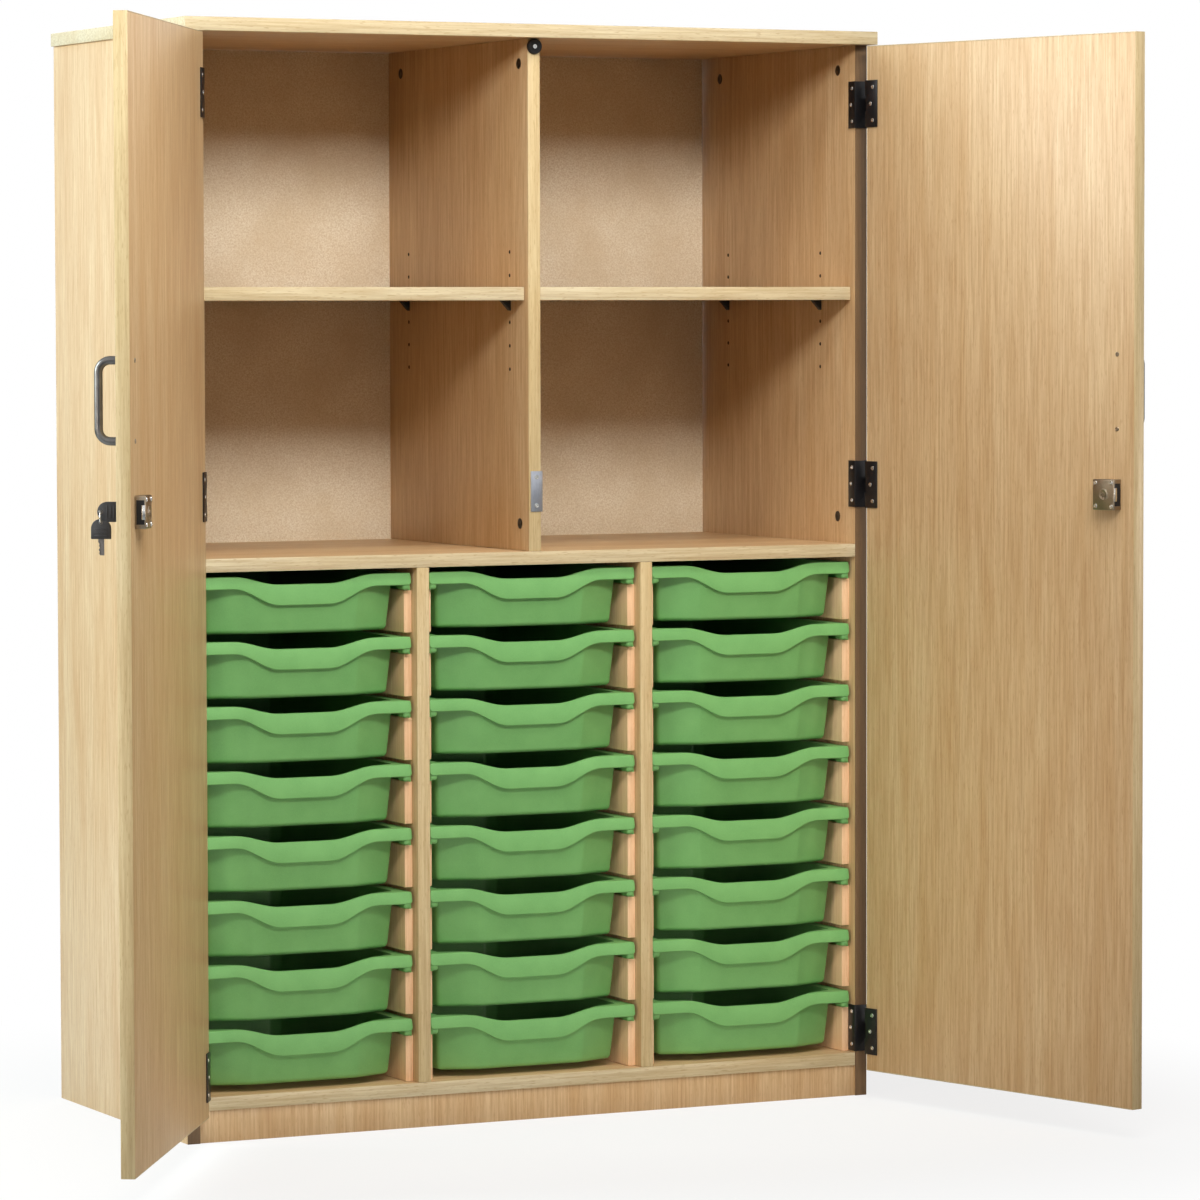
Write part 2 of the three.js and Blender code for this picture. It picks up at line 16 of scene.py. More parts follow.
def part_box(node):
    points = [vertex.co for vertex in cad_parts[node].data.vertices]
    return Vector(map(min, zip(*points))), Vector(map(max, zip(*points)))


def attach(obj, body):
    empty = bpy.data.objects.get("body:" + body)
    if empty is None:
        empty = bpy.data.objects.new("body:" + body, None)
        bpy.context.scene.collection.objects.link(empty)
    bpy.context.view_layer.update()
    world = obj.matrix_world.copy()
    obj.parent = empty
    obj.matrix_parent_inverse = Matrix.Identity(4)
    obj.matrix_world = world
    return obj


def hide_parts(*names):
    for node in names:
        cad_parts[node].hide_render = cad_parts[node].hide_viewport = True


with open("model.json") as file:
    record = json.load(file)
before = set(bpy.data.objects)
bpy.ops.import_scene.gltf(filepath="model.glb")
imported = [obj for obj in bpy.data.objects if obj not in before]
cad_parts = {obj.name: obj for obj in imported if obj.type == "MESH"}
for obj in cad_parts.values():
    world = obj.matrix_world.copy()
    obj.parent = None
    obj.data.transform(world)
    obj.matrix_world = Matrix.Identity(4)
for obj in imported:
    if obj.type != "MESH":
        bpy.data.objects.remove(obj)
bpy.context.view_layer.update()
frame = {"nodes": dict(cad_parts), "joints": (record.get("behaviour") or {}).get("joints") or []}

MM = 0.001
scene = bpy.context.scene
joints = {joint["name"]: joint for joint in frame["joints"]}

# %% [markdown]
# ## Small helpers
# A colour is given as an sRGB hex value, but shaders work in linear light, so one function converts.
# One more adds a shader node with its settings and links, because node code is otherwise mostly repetition.


# %% Colour and node helpers
def linear(hex_code):
    channels = [int(hex_code[i:i + 2], 16) / 255 for i in (1, 3, 5)]
    return [c / 12.92 if c <= 0.04045 else ((c + 0.055) / 1.055) ** 2.4 for c in channels] + [1.0]


def add(tree, kind, inputs=None, **settings):
    made = tree.nodes.new(kind)
    for name, value in settings.items():
        setattr(made, name, value)
    for name, value in (inputs or {}).items():
        if isinstance(value, bpy.types.NodeSocket):
            tree.links.new(value, made.inputs[name])
        else:
            made.inputs[name].default_value = value
    return made


def new_material(name):
    """An empty material and its tree, with a Principled shader wired to the output."""
    material = bpy.data.materials.new(name)
    material.use_nodes = True
    tree = material.node_tree
    tree.nodes.clear()
    shader = add(tree, "ShaderNodeBsdfPrincipled")
    add(tree, "ShaderNodeOutputMaterial", {"Surface": shader.outputs[0]})
    place = add(tree, "ShaderNodeTexCoord").outputs["Object"]
    return material, tree, shader, place


def feed(tree, shader, **values):
    """Sets sockets of a shader: a number, a colour or another node's output."""
    for name, value in values.items():
        socket = shader.inputs[name.replace("_", " ")]
        if isinstance(value, bpy.types.NodeSocket):
            tree.links.new(value, socket)
        else:
            socket.default_value = value


# %% [markdown]
# ## Beech-effect melamine
# The boards are chipboard faced with printed melamine paper: a satin film with a photographed beech grain.
# The print has three scales: a broad soft figure a few centimetres wide, streaks a few millimetres wide, and
# the short dark flecks that mark beech. Three stretched noises make them, all on Object coordinates, so the
# pattern stays with the board. Streaks are drawn about twice as coarse as the real print so that they show.

# %% Beech finishes
BAND_WIDTH = 40 * MM
STREAK_WIDTH = 3.2 * MM
FLECK_WIDTH = 1.5 * MM
ALONG_BAND = 12
ALONG_STREAK = 34
ALONG_FLECK = 9
STREAK_DEPTH = 0.59


def beech(name, grain, pale, tan, brown, fleck_share=0.4, roughness=0.42):
    material, tree, shader, place = new_material(name)

    def stretched(width, along, detail, roughened, bent=0.25):
        across = 1 / width
        scale = [across, across, across]
        scale["xyz".index(grain)] = across / along
        mapping = add(tree, "ShaderNodeMapping", {"Vector": place, "Scale": scale})
        return add(tree, "ShaderNodeTexNoise", {
            "Vector": mapping.outputs[0], "Scale": 1.0, "Detail": detail, "Roughness": roughened,
            "Distortion": bent,
        }).outputs["Fac"]

    band = stretched(BAND_WIDTH, ALONG_BAND, 4, 0.55, 0.8)
    streak = stretched(STREAK_WIDTH, ALONG_STREAK, 4, 0.65)
    fleck = stretched(FLECK_WIDTH, ALONG_FLECK, 1, 0.5)
    band_share = add(tree, "ShaderNodeMapRange", {"Value": band, "From Min": 0.3, "From Max": 0.7})
    streak_share = add(tree, "ShaderNodeMapRange", {"Value": streak, "From Min": 0.37, "From Max": 0.67})
    fleck_mask = add(tree, "ShaderNodeMapRange", {
        "Value": fleck, "From Min": 0.6, "From Max": 0.72, "To Max": fleck_share,
    })
    tone = add(tree, "ShaderNodeMix", {
        "Factor": band_share.outputs[0], "A": linear(pale), "B": linear(tan),
    }, data_type="RGBA")
    streak_mix = add(tree, "ShaderNodeMath", {
        0: streak_share.outputs[0], 1: STREAK_DEPTH,
    }, operation="MULTIPLY")
    streaked = add(tree, "ShaderNodeMix", {
        "Factor": streak_mix.outputs[0], "A": tone.outputs["Result"], "B": linear(brown),
    }, data_type="RGBA")
    flecked = add(tree, "ShaderNodeMix", {
        "Factor": fleck_mask.outputs[0], "A": streaked.outputs["Result"], "B": linear(brown),
    }, data_type="RGBA")
    gloss = add(tree, "ShaderNodeMapRange", {
        "Value": streak, "To Min": roughness - 0.06, "To Max": roughness + 0.08,
    })
    relief = add(tree, "ShaderNodeBump", {"Height": streak, "Strength": 0.08, "Distance": 0.2 * MM})
    feed(tree, shader, Base_Color=flecked.outputs["Result"], Roughness=gloss.outputs[0],
         Normal=relief.outputs[0], IOR=1.5)
    return material


BEECH = {
    "upright": beech("beech_melamine_upright", "z", "#DFC59C", "#D0AE81", "#AE8254"),
    "level": beech("beech_melamine_level", "x", "#DFC59C", "#D0AE81", "#AE8254"),
}
EDGING = {
    "upright": beech("beech_edging_upright", "z", "#DCCBA2", "#D1BA8A", "#B19364", 0.5, 0.36),
    "level": beech("beech_edging_level", "x", "#DDD2B3", "#D2C098", "#AC9267", 0.6, 0.36),
}
# The side panels' front strip is painted shade: dark brown for the shadow beside the open doors.
PAINTED_SHADE_EDGING = {"upright": beech("panel_edging_painted_shade", "z", "#7F6548", "#755B40", "#5C4630", 0.4, 0.45)}
# The runner strips are paler than the boards: partly their own tone, partly painted light that lifts them out
# of the shade under the trays.
RUNNER_TONE_AND_PAINTED_LIGHT = beech("runner_beech_tone_and_painted_light", "z", "#FADAB4", "#F2CAA2", "#DDB084", 0.4, 0.5)
beeches = [*BEECH.values(), *EDGING.values(), *PAINTED_SHADE_EDGING.values(), RUNNER_TONE_AND_PAINTED_LIGHT]
print("beech finishes:", [material.name for material in beeches])

# %% [markdown]
# ## Hardboard
# The back is an unfaced fibreboard sheet. It is pressed from wood fibre, so it is matt, speckled at about
# two millimetres with brown and pale fibre bundles, and cloudy at the scale of a hand.

# %% Hardboard finish
SPECKLE = 2.4 * MM
CLOUD = 90 * MM


def hardboard():
    material, tree, shader, place = new_material("plain_hardboard")
    speckle = add(tree, "ShaderNodeTexNoise", {
        "Vector": place, "Scale": 1 / SPECKLE, "Detail": 3, "Roughness": 0.7,
    }).outputs["Fac"]
    cloud = add(tree, "ShaderNodeTexNoise", {"Vector": place, "Scale": 1 / CLOUD, "Detail": 3}).outputs["Fac"]
    share = add(tree, "ShaderNodeMapRange", {"Value": speckle, "From Min": 0.36, "From Max": 0.66})
    fibre = add(tree, "ShaderNodeMix", {
        "Factor": share.outputs[0], "A": linear("#F1E8D4"), "B": linear("#D4C2A4"),
    }, data_type="RGBA")
    cloud_share = add(tree, "ShaderNodeMapRange", {
        "Value": cloud, "From Min": 0.35, "From Max": 0.7, "To Max": 0.5,
    })
    clouded = add(tree, "ShaderNodeMix", {
        "Factor": cloud_share.outputs[0], "A": fibre.outputs["Result"], "B": linear("#CDB896"),
    }, data_type="RGBA")
    relief = add(tree, "ShaderNodeBump", {"Height": speckle, "Strength": 0.25, "Distance": 0.3 * MM})
    feed(tree, shader, Base_Color=clouded.outputs["Result"], Normal=relief.outputs[0], Roughness=0.82)
    return material


HARDBOARD = hardboard()
print("hardboard nodes:", len(HARDBOARD.node_tree.nodes))

# %% [markdown]
# ## Moulded polypropylene, black steel, bright metals and rubber
# The trays are injection-moulded polypropylene with a fine spark-eroded skin: a soft sheen with a faint
# orange-peel. The hinges are black-plated pressed steel, the handles brushed stainless bar, the lock cases
# nickel-plated die castings, the screws bright zinc. One function covers the plain finishes: a base colour
# broken up by a slow mottle, a grain whose size is given in millimetres, and a matching bump. A rim below
# one darkens a metal where it is seen at a slant, as round bar looks against a white room.


# %% Plastic and metal finishes
def surface(name, base, other, grain_mm, roughness, metallic=0.0, stretch=(1, 1, 1), bump=0.1, rim=1.0):
    material, tree, shader, place = new_material(name)
    scale = [1 / (grain_mm * MM * s) for s in stretch]
    mapping = add(tree, "ShaderNodeMapping", {"Vector": place, "Scale": scale})
    grain = add(tree, "ShaderNodeTexNoise", {
        "Vector": mapping.outputs[0], "Scale": 1.0, "Detail": 3, "Roughness": 0.6,
    }).outputs["Fac"]
    mottle = add(tree, "ShaderNodeTexNoise", {
        "Vector": place, "Scale": 1 / (grain_mm * MM * 30), "Detail": 2,
    }).outputs["Fac"]
    both = add(tree, "ShaderNodeMath", {0: grain, 1: mottle}, operation="MULTIPLY")
    share = add(tree, "ShaderNodeMapRange", {"Value": both.outputs[0], "From Min": 0.12, "From Max": 0.4})
    colour = add(tree, "ShaderNodeMix", {
        "Factor": share.outputs[0], "A": linear(base), "B": linear(other),
    }, data_type="RGBA")
    gloss = add(tree, "ShaderNodeMapRange", {
        "Value": grain, "To Min": roughness - 0.08, "To Max": roughness + 0.08,
    })
    relief = add(tree, "ShaderNodeBump", {"Height": grain, "Strength": bump, "Distance": 0.1 * MM})
    feed(tree, shader, Base_Color=colour.outputs["Result"], Roughness=gloss.outputs[0],
         Normal=relief.outputs[0], Metallic=metallic, Specular_Tint=(rim, rim, rim, 1))
    return material


TRAY_GREEN = surface("moulded_polypropylene_green", "#7BB86F", "#70AC65", 1.2, 0.38, bump=0.12)
HINGE_BLACK = surface("black_plated_steel", "#141417", "#232326", 1.0, 0.34, metallic=0.3)
STEEL = surface("brushed_stainless_bar", "#7C7A78", "#605E5C", 0.5, 0.3, 1.0, (1, 1, 40), 0.2, 0.3)
NICKEL = surface("nickel_plated_casting", "#A99C89", "#8A7D6C", 1.4, 0.36, 1.0, bump=0.25)
ZINC = surface("bright_zinc_screw", "#E4E4E0", "#C6C6C4", 0.6, 0.24, 1.0)
ALUMINIUM = surface("satin_aluminium_plate", "#B9BEC8", "#A2A7B2", 0.6, 0.38, 0.9, stretch=(1, 1, 20))
KEY_BLACK = surface("key_bow_plastic", "#1B1B1D", "#2A2A2C", 0.8, 0.5, bump=0.3)
RUBBER = surface("buffer_rubber", "#121213", "#1E1E20", 0.9, 0.7, bump=0.3)
HOLE_DARK = surface("drilled_hole_shade", "#33241A", "#241811", 0.8, 0.8)
SUPPORT_BLACK = surface("shelf_support_plastic", "#1A1815", "#26231F", 0.8, 0.45)
print("materials, with the frame's own:", len(bpy.data.materials))

# %% [markdown]
# ## Making pieces
# A piece starts as a bmesh, gets its mesh and material, and rides on a body. Round stretches look round when
# normals are shared across them and split at sharp edges, so each mesh is shaded smooth with an angle limit.

# %% Piece helpers
SHARP_ANGLE = math.radians(38)
WELD = 0.01 * MM
HOME = Matrix.Identity(4)


def put(part, into, place=HOME):
    """Moves a finished bmesh into another one, at a place."""
    bmesh.ops.transform(part, matrix=place, verts=part.verts)
    carrier = bpy.data.meshes.new("carrier")
    part.to_mesh(carrier)
    part.free()
    into.from_mesh(carrier)
    bpy.data.meshes.remove(carrier)


def piece(name, part, material, body, replaces=(), place=HOME):
    bmesh.ops.transform(part, matrix=place, verts=part.verts)
    mesh = bpy.data.meshes.new(name)
    part.to_mesh(mesh)
    part.free()
    return dress(name, mesh, material, body, replaces)


def dress(name, mesh, material, body, replaces=()):
    mesh.shade_smooth()
    mesh.set_sharp_from_angle(angle=SHARP_ANGLE)
    mesh.materials.clear()
    mesh.materials.append(material)
    made = bpy.data.objects.new(name, mesh)
    scene.collection.objects.link(made)
    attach(made, body)
    if replaces:
        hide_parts(*replaces)
    return made


# %% Eased blocks, round heads and turned shapes
def block(low, high, ease, segments=2):
    """A box between two corners with eased arrises."""
    low, high = Vector(low), Vector(high)
    part = bmesh.new()
    bmesh.ops.create_cube(part, size=1)
    bmesh.ops.scale(part, vec=high - low, verts=part.verts)
    bmesh.ops.translate(part, vec=(low + high) / 2, verts=part.verts)
    bmesh.ops.bevel(part, geom=part.edges[:], offset=ease, affect="EDGES", segments=segments,
                    profile=0.5, material=-1)
    return part


def standing(point, normal):
    """The place of something that stands on a face: its own Z along the face's normal."""
    return Matrix.Translation(point) @ Vector(normal).to_track_quat("Z", "Y").to_matrix().to_4x4()


def round_head(radius, height, socket, sunk=0.6, segments=18):
    """A screw or fitting head with a tapered rim and a sunk socket, standing on the XY plane."""
    part = bmesh.new()
    rim = radius * 0.86
    bmesh.ops.create_cone(part, cap_ends=True, segments=segments, radius1=radius, radius2=rim, depth=height)
    bmesh.ops.translate(part, vec=(0, 0, height / 2), verts=part.verts)
    part.faces.ensure_lookup_table()
    top = max(part.faces, key=lambda face: face.calc_center_median().z)
    bmesh.ops.inset_region(part, faces=[top], thickness=rim - socket)
    bmesh.ops.inset_region(part, faces=[top], thickness=socket * 0.15)
    bmesh.ops.translate(part, vec=(0, 0, -height * sunk), verts=top.verts)
    return part


def new_verts(made):
    """The vertices among what an operator made."""
    return [g for g in made["geom"] if isinstance(g, bmesh.types.BMVert)]


def lathe(profile, steps, closed=False):
    """A profile of radius and height, spun once round Z."""
    part = bmesh.new()
    points = [part.verts.new((radius, 0, height)) for radius, height in profile]
    ends = points[1:] + points[:1] if closed else points[1:]
    edges = [part.edges.new(pair) for pair in zip(points, ends)]
    bmesh.ops.spin(part, geom=edges, cent=(0, 0, 0), axis=(0, 0, 1), angle=2 * math.pi, steps=steps,
                   use_merge=True)
    bmesh.ops.remove_doubles(part, verts=part.verts, dist=WELD)
    bmesh.ops.recalc_face_normals(part, faces=part.faces)
    return part


def heads(name, places, radius, height, socket, material, body):
    """A set of like heads that one body carries, as one piece."""
    together = bmesh.new()
    for place in places:
        put(round_head(radius, height, socket), together, place)
    return piece(name, together, material, body)


# %% [markdown]
# ## Doors hang in their own frame
# A door is easiest to describe shut, with distances counted inwards from its hinge pin. The frame's joints
# say where each pin is and how far the door stands open at rest, which is all that the placing needs.

# %% Where each door stands
SIDES = {"left": -1, "right": 1}
BOARD = 18 * MM


def door_place(side):
    swing = joints[f"{side}_door_swing"]
    pin = Vector((swing["pos_m"][0], swing["pos_m"][1], 0))
    turn = math.radians(-swing["range_deg"][0]) * swing["axis"][2]
    return Matrix.Translation(pin) @ Matrix.Rotation(turn, 4, "Z")


DOOR = {side: door_place(side) for side in SIDES}


def shut_box(node, side):
    """A door node's corners in the shut door's frame, counted from its pin."""
    back = DOOR[side].inverted()
    points = [back @ vertex.co for vertex in frame["nodes"][node].data.vertices]
    low = Vector([min(p[i] for p in points) for i in range(3)])
    high = Vector([max(p[i] for p in points) for i in range(3)])
    return low, high


for side in SIDES:
    low, high = shut_box(f"door_{side}", side)
    print(side, "door", [round(v * 1000, 1) for v in high - low], "mm")

# %% [markdown]
# ## Boards and their edging
# A board's cut edges are hidden by a glued strip a little over a millimetre thick. Making the strip its own
# piece, with its own eased arris, leaves the fine line between face and edge that shows what the board is.
# The side panels' front edges, which the shut doors hide, are banded in a dark brown that is painted shade:
# the shadow that falls on them beside the open doors.

# %% Edged boards
STRIP = 1.3 * MM
EASE = 0.45 * MM


def board(name, low, high, body, grain, edged="", place=HOME, strips=EDGING):
    """A faced board with a strip on each named side, such as "-y" for the front."""
    low, high = Vector(low), Vector(high)
    for side in edged.split():
        axis = "xyz".index(side[1])
        strip_low, strip_high = low.copy(), high.copy()
        if side[0] == "-":
            strip_high[axis] = low[axis] + STRIP
            low[axis] += STRIP
        else:
            strip_low[axis] = high[axis] - STRIP
            high[axis] -= STRIP
        across = strip_high - strip_low
        run = "level" if max(across.x, across.y) > across.z else "upright"
        label = f"{name}_edging_{'low' if side[0] == '-' else 'high'}_{side[1]}"
        piece(label, block(strip_low, strip_high, EASE), strips[run], body, place=place)
    return piece(name, block(low, high, EASE), BEECH[grain], body, (name,), place)


def board_of(node, thick_axis="", keep=""):
    """A node's box, cut to one board's thickness where runners or supports stand out of it."""
    low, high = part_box(node)
    if thick_axis:
        axis = "xyz".index(thick_axis)
        middle = (low[axis] + high[axis]) / 2
        low[axis], high[axis] = {
            "low": (low[axis], low[axis] + BOARD),
            "high": (high[axis] - BOARD, high[axis]),
            "middle": (middle - BOARD / 2, middle + BOARD / 2),
        }[keep]
    return low, high


boards = {
    "side_panel_left": board_of("side_panel_left", "x", "low"),
    "side_panel_right": board_of("side_panel_right", "x", "high"),
    "tray_divider_left": board_of("tray_divider_left", "x", "middle"),
    "tray_divider_right": board_of("tray_divider_right", "x", "middle"),
    "upper_divider": board_of("upper_divider", "x", "middle"),
}
for name, (low, high) in boards.items():
    # Side panels get the painted-shade strip on their front edges.
    strips = PAINTED_SHADE_EDGING if name.startswith("side") else EDGING
    board(name, low, high, "carcass", "upright", "-y", strips=strips)
board("top_panel", *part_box("top_panel"), "carcass", "level", "-y -x +x")
for name in ("base_panel", "mid_shelf", "shelf_left", "shelf_right"):
    board(name, *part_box(name), "carcass", "level", "-y")
board("plinth", *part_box("plinth"), "carcass", "upright")
for side in SIDES:
    low, high = shut_box(f"door_{side}", side)
    board(f"door_{side}", low, high, f"{side}_door", "upright", "-x +x -z +z", DOOR[side])
low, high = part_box("back_panel")
piece("back_panel", block(low, high, EASE), HARDBOARD, "carcass", ("back_panel",))
print("boards:", len(boards) + 9)

# %% [markdown]
# ## Runner strips and shelf supports
# Each tray slides on short strips screwed to the boards beside it. Each shelf lies on black plastic supports:
# a small gusset whose pin plugs into one of a row of drilled holes. Strips are eased blocks. A support is a
# block whose lower outer edge is pulled back to the board.

# %% Runner strips
ROWS = 8
RUNNER = 11 * MM
RUNNER_FRONT = 19 * MM
RUNNER_BACK = 440 * MM
RAIL_DEPTH = 24 * MM
HEADROOM = 5 * MM
front_y = boards["side_panel_left"][0].y
base_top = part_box("base_panel")[1].z
row_tops = [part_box(f"tray_left_{row + 1}")[1].z for row in range(ROWS)]
inner_faces = {
    "side_left": (boards["side_panel_left"][1].x, 1),
    "divider_left_a": (boards["tray_divider_left"][0].x, -1),
    "divider_left_b": (boards["tray_divider_left"][1].x, 1),
    "divider_right_a": (boards["tray_divider_right"][0].x, -1),
    "divider_right_b": (boards["tray_divider_right"][1].x, 1),
    "side_right": (boards["side_panel_right"][0].x, -1),
}
for name, (face_x, towards) in inner_faces.items():
    strips = bmesh.new()
    for row, top in enumerate(row_tops):
        bottom = row_tops[row + 1] + HEADROOM if row + 1 < ROWS else base_top + 0.3 * MM
        xs = sorted((face_x - towards * 0.5 * MM, face_x + towards * RUNNER))
        put(block((xs[0], front_y + RUNNER_FRONT, bottom), (xs[1], front_y + RUNNER_BACK, top - RAIL_DEPTH),
                  1.0 * MM), strips)
    # The strips' pale colour is partly their own tone and partly painted light.
    piece(f"tray_runners_{name}", strips, RUNNER_TONE_AND_PAINTED_LIGHT, "carcass")

# %% Shelf supports
SUPPORT = 14 * MM
SUPPORT_WIDTH = 8 * MM
shelf_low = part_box("shelf_left")[0].z
support_columns = {
    "side_left": (boards["side_panel_left"][1].x, 1, (104 * MM, 388 * MM)),
    "divider_left": (boards["upper_divider"][0].x, -1, (62 * MM, 402 * MM)),
    "divider_right": (boards["upper_divider"][1].x, 1, (62 * MM, 402 * MM)),
    "side_right": (boards["side_panel_right"][0].x, -1, (104 * MM, 388 * MM)),
}
for name, (face_x, towards, columns) in support_columns.items():
    gussets = bmesh.new()
    for column in columns:
        low = Vector((0, front_y + column - SUPPORT_WIDTH / 2, shelf_low - SUPPORT))
        high = Vector((SUPPORT, front_y + column + SUPPORT_WIDTH / 2, shelf_low - 0.3 * MM))
        gusset = bmesh.new()
        bmesh.ops.create_cube(gusset, size=1)
        bmesh.ops.scale(gusset, vec=high - low, verts=gusset.verts)
        bmesh.ops.translate(gusset, vec=(low + high) / 2, verts=gusset.verts)
        for vertex in gusset.verts:
            if vertex.co.x > SUPPORT / 2 and vertex.co.z < shelf_low - SUPPORT / 2:
                vertex.co.x = 1.5 * MM
        bmesh.ops.bevel(gusset, geom=gusset.edges[:], offset=0.6 * MM, affect="EDGES", segments=2,
                        profile=0.5, material=-1)
        turned = HOME if towards > 0 else Matrix.Scale(-1, 4, (1, 0, 0))
        put(gusset, gussets, Matrix.Translation((face_x, 0, 0)) @ turned)
    bmesh.ops.recalc_face_normals(gussets, faces=gussets.faces)
    piece(f"shelf_supports_{name}", gussets, SUPPORT_BLACK, "carcass")
print("runner sets:", len(inner_faces), "support sets:", len(support_columns))

# %% [markdown]
# ## Trays
# A tray is one thin moulding: a tapered body with a flat centre panel and two angled facets in front, a
# flange round its rim, rails that hang from the flange to slide on the runners, and a thick wavy lip. The
# body is an outline extruded and drawn in towards its floor. The flange bridges from the body's rim to the
# outer loop. The lip is a strip whose edges follow a half-cosine, thickened and rounded.

# %% Tray sizes and the lip's wave
TRAY_HALF = (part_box("tray_left_1")[1].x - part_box("tray_left_1")[0].x) / 2
TRAY_LENGTH = 427 * MM
TRAY_HEIGHT = 75 * MM
TRAY_WALL = 2.2 * MM
BODY_HALF = 135 * MM
BODY_FRONT = 5 * MM
BODY_BACK = 420 * MM
PANEL_HALF = 79 * MM
FACET_BACK = 25 * MM
BACK_CORNER = 14 * MM
TAPER_X = 129 / 135
TAPER_Y = 0.985
LIP_THICKNESS = 6 * MM
LIP_LEAN = 3 * MM
FRONT_DRAFT = 5 * MM
LIP_END = 16.6 * MM
LIP_MIDDLE = 28 * MM
LIP_DIP = 11.5 * MM
WAVE_INNER = 36 * MM
WAVE_OUTER = 104 * MM
RAIL_FOOT = 23.4 * MM
NUB_WIDTH = 12 * MM
NUB_LENGTH = 24 * MM
NUB_TOP = 9 * MM
BODY_CORNER = 3 * MM
FOOT_ROUND = 4 * MM
FLANGE_CORNER = 6 * MM
LIP_CORNER = 4.5 * MM
LIP_ROUND = 1.6 * MM
FRONT_LIMIT = FACET_BACK + 2 * MM
LEVEL = 1e-7


def wave(x):
    across = min(max((WAVE_OUTER - abs(x)) / (WAVE_OUTER - WAVE_INNER), 0), 1)
    return (1 - math.cos(math.pi * across)) / 2


def lip_top(x):
    return -LIP_DIP * wave(x)


def lip_bottom(x):
    return -LIP_END - (LIP_DIP + LIP_MIDDLE - LIP_END) * wave(x)


# %% The tray's shell
def level_faces(part):
    """The faces that lie at the rim's height."""
    return [f for f in part.faces if all(abs(v.co.z) < LEVEL for v in f.verts)]


def tray_shell():
    part = bmesh.new()
    right = [(PANEL_HALF, BODY_FRONT), (BODY_HALF, FACET_BACK), (BODY_HALF, BODY_BACK - BACK_CORNER),
             (BODY_HALF - BACK_CORNER, BODY_BACK)]
    outline = right + [(-x, y) for x, y in reversed(right)]
    rim = part.faces.new([part.verts.new((x, y, 0)) for x, y in outline])
    bmesh.ops.bevel(part, geom=list(rim.verts), offset=BODY_CORNER, affect="VERTICES", segments=3,
                    profile=0.5, material=-1)
    part.faces.ensure_lookup_table()
    front = [e for e in part.edges if all(v.co.y < FRONT_LIMIT for v in e.verts)]
    long_front = [e for e in front if e.calc_length() > 12 * MM]
    bmesh.ops.subdivide_edges(part, edges=long_front, cuts=15)
    part.faces.ensure_lookup_table()
    made = bmesh.ops.extrude_face_region(part, geom=[part.faces[0]])
    middle = (BODY_FRONT + BODY_BACK) / 2
    for vertex in new_verts(made):
        x, y, _ = vertex.co
        draft = FRONT_DRAFT if y < middle else 0
        vertex.co = (x * TAPER_X, middle + (y - middle) * TAPER_Y + draft, -TRAY_HEIGHT)
    bmesh.ops.delete(part, geom=level_faces(part), context="FACES_ONLY")
    foot = [e for e in part.edges if all(v.co.z < -TRAY_HEIGHT + 1e-6 for v in e.verts)]
    bmesh.ops.bevel(part, geom=foot, offset=FOOT_ROUND, affect="EDGES", segments=3, profile=0.5, material=-1)
    return part


def tray_flange(part):
    """Bridges the body's rim to an outer loop and hangs the rails from its sides."""
    inner = [e for e in part.edges if e.is_boundary]
    out = TRAY_HALF - 1.2 * MM
    corners = [(out, LIP_THICKNESS / 2), (out, TRAY_LENGTH), (-out, TRAY_LENGTH), (-out, LIP_THICKNESS / 2)]
    loop = part.faces.new([part.verts.new((x, y, 0)) for x, y in corners])
    back = [v for v in loop.verts if v.co.y > TRAY_LENGTH / 2]
    bmesh.ops.bevel(part, geom=back, offset=FLANGE_CORNER, affect="VERTICES", segments=3, profile=0.5,
                    material=-1)
    outer = [e for f in level_faces(part) for e in f.edges]
    front = [e for e in outer if all(v.co.y < LIP_THICKNESS for v in e.verts)]
    bmesh.ops.subdivide_edges(part, edges=front, cuts=47)
    flat = level_faces(part)
    outer = [e for f in flat for e in f.edges]
    bmesh.ops.delete(part, geom=flat, context="FACES_ONLY")
    for vertex in {v for e in inner + outer for v in e.verts}:
        if vertex.co.y < FRONT_LIMIT:
            vertex.co.z = lip_top(vertex.co.x) - 0.4 * MM
    bmesh.ops.bridge_loops(part, edges=inner + outer)
    sides = [e for e in outer if all(abs(abs(v.co.x) - out) < 1e-5 for v in e.verts)]
    for vertex in new_verts(bmesh.ops.extrude_edge_only(part, edges=sides)):
        vertex.co.z = -RAIL_FOOT


def tray_lip():
    part = bmesh.new()
    bmesh.ops.create_grid(part, x_segments=60, y_segments=1, size=1)
    for vertex in part.verts:
        x = vertex.co.x * TRAY_HALF
        upper = vertex.co.y > 0
        vertex.co = (x, LIP_LEAN if upper else 0, lip_top(x) if upper else lip_bottom(x))
    ends = [v for v in part.verts if abs(v.co.x) > TRAY_HALF - 1e-6]
    bmesh.ops.bevel(part, geom=ends, offset=LIP_CORNER, affect="VERTICES", segments=4, profile=0.5,
                    material=-1)
    made = bmesh.ops.extrude_face_region(part, geom=part.faces[:])
    bmesh.ops.translate(part, vec=(0, LIP_THICKNESS, 0), verts=new_verts(made))
    bmesh.ops.recalc_face_normals(part, faces=part.faces)
    part.normal_update()
    rim = [e for e in part.edges if len(e.link_faces) == 2 and e.calc_face_angle() > math.radians(60)]
    bmesh.ops.bevel(part, geom=rim, offset=LIP_ROUND, affect="EDGES", segments=3, profile=0.5, material=-1)
    return part


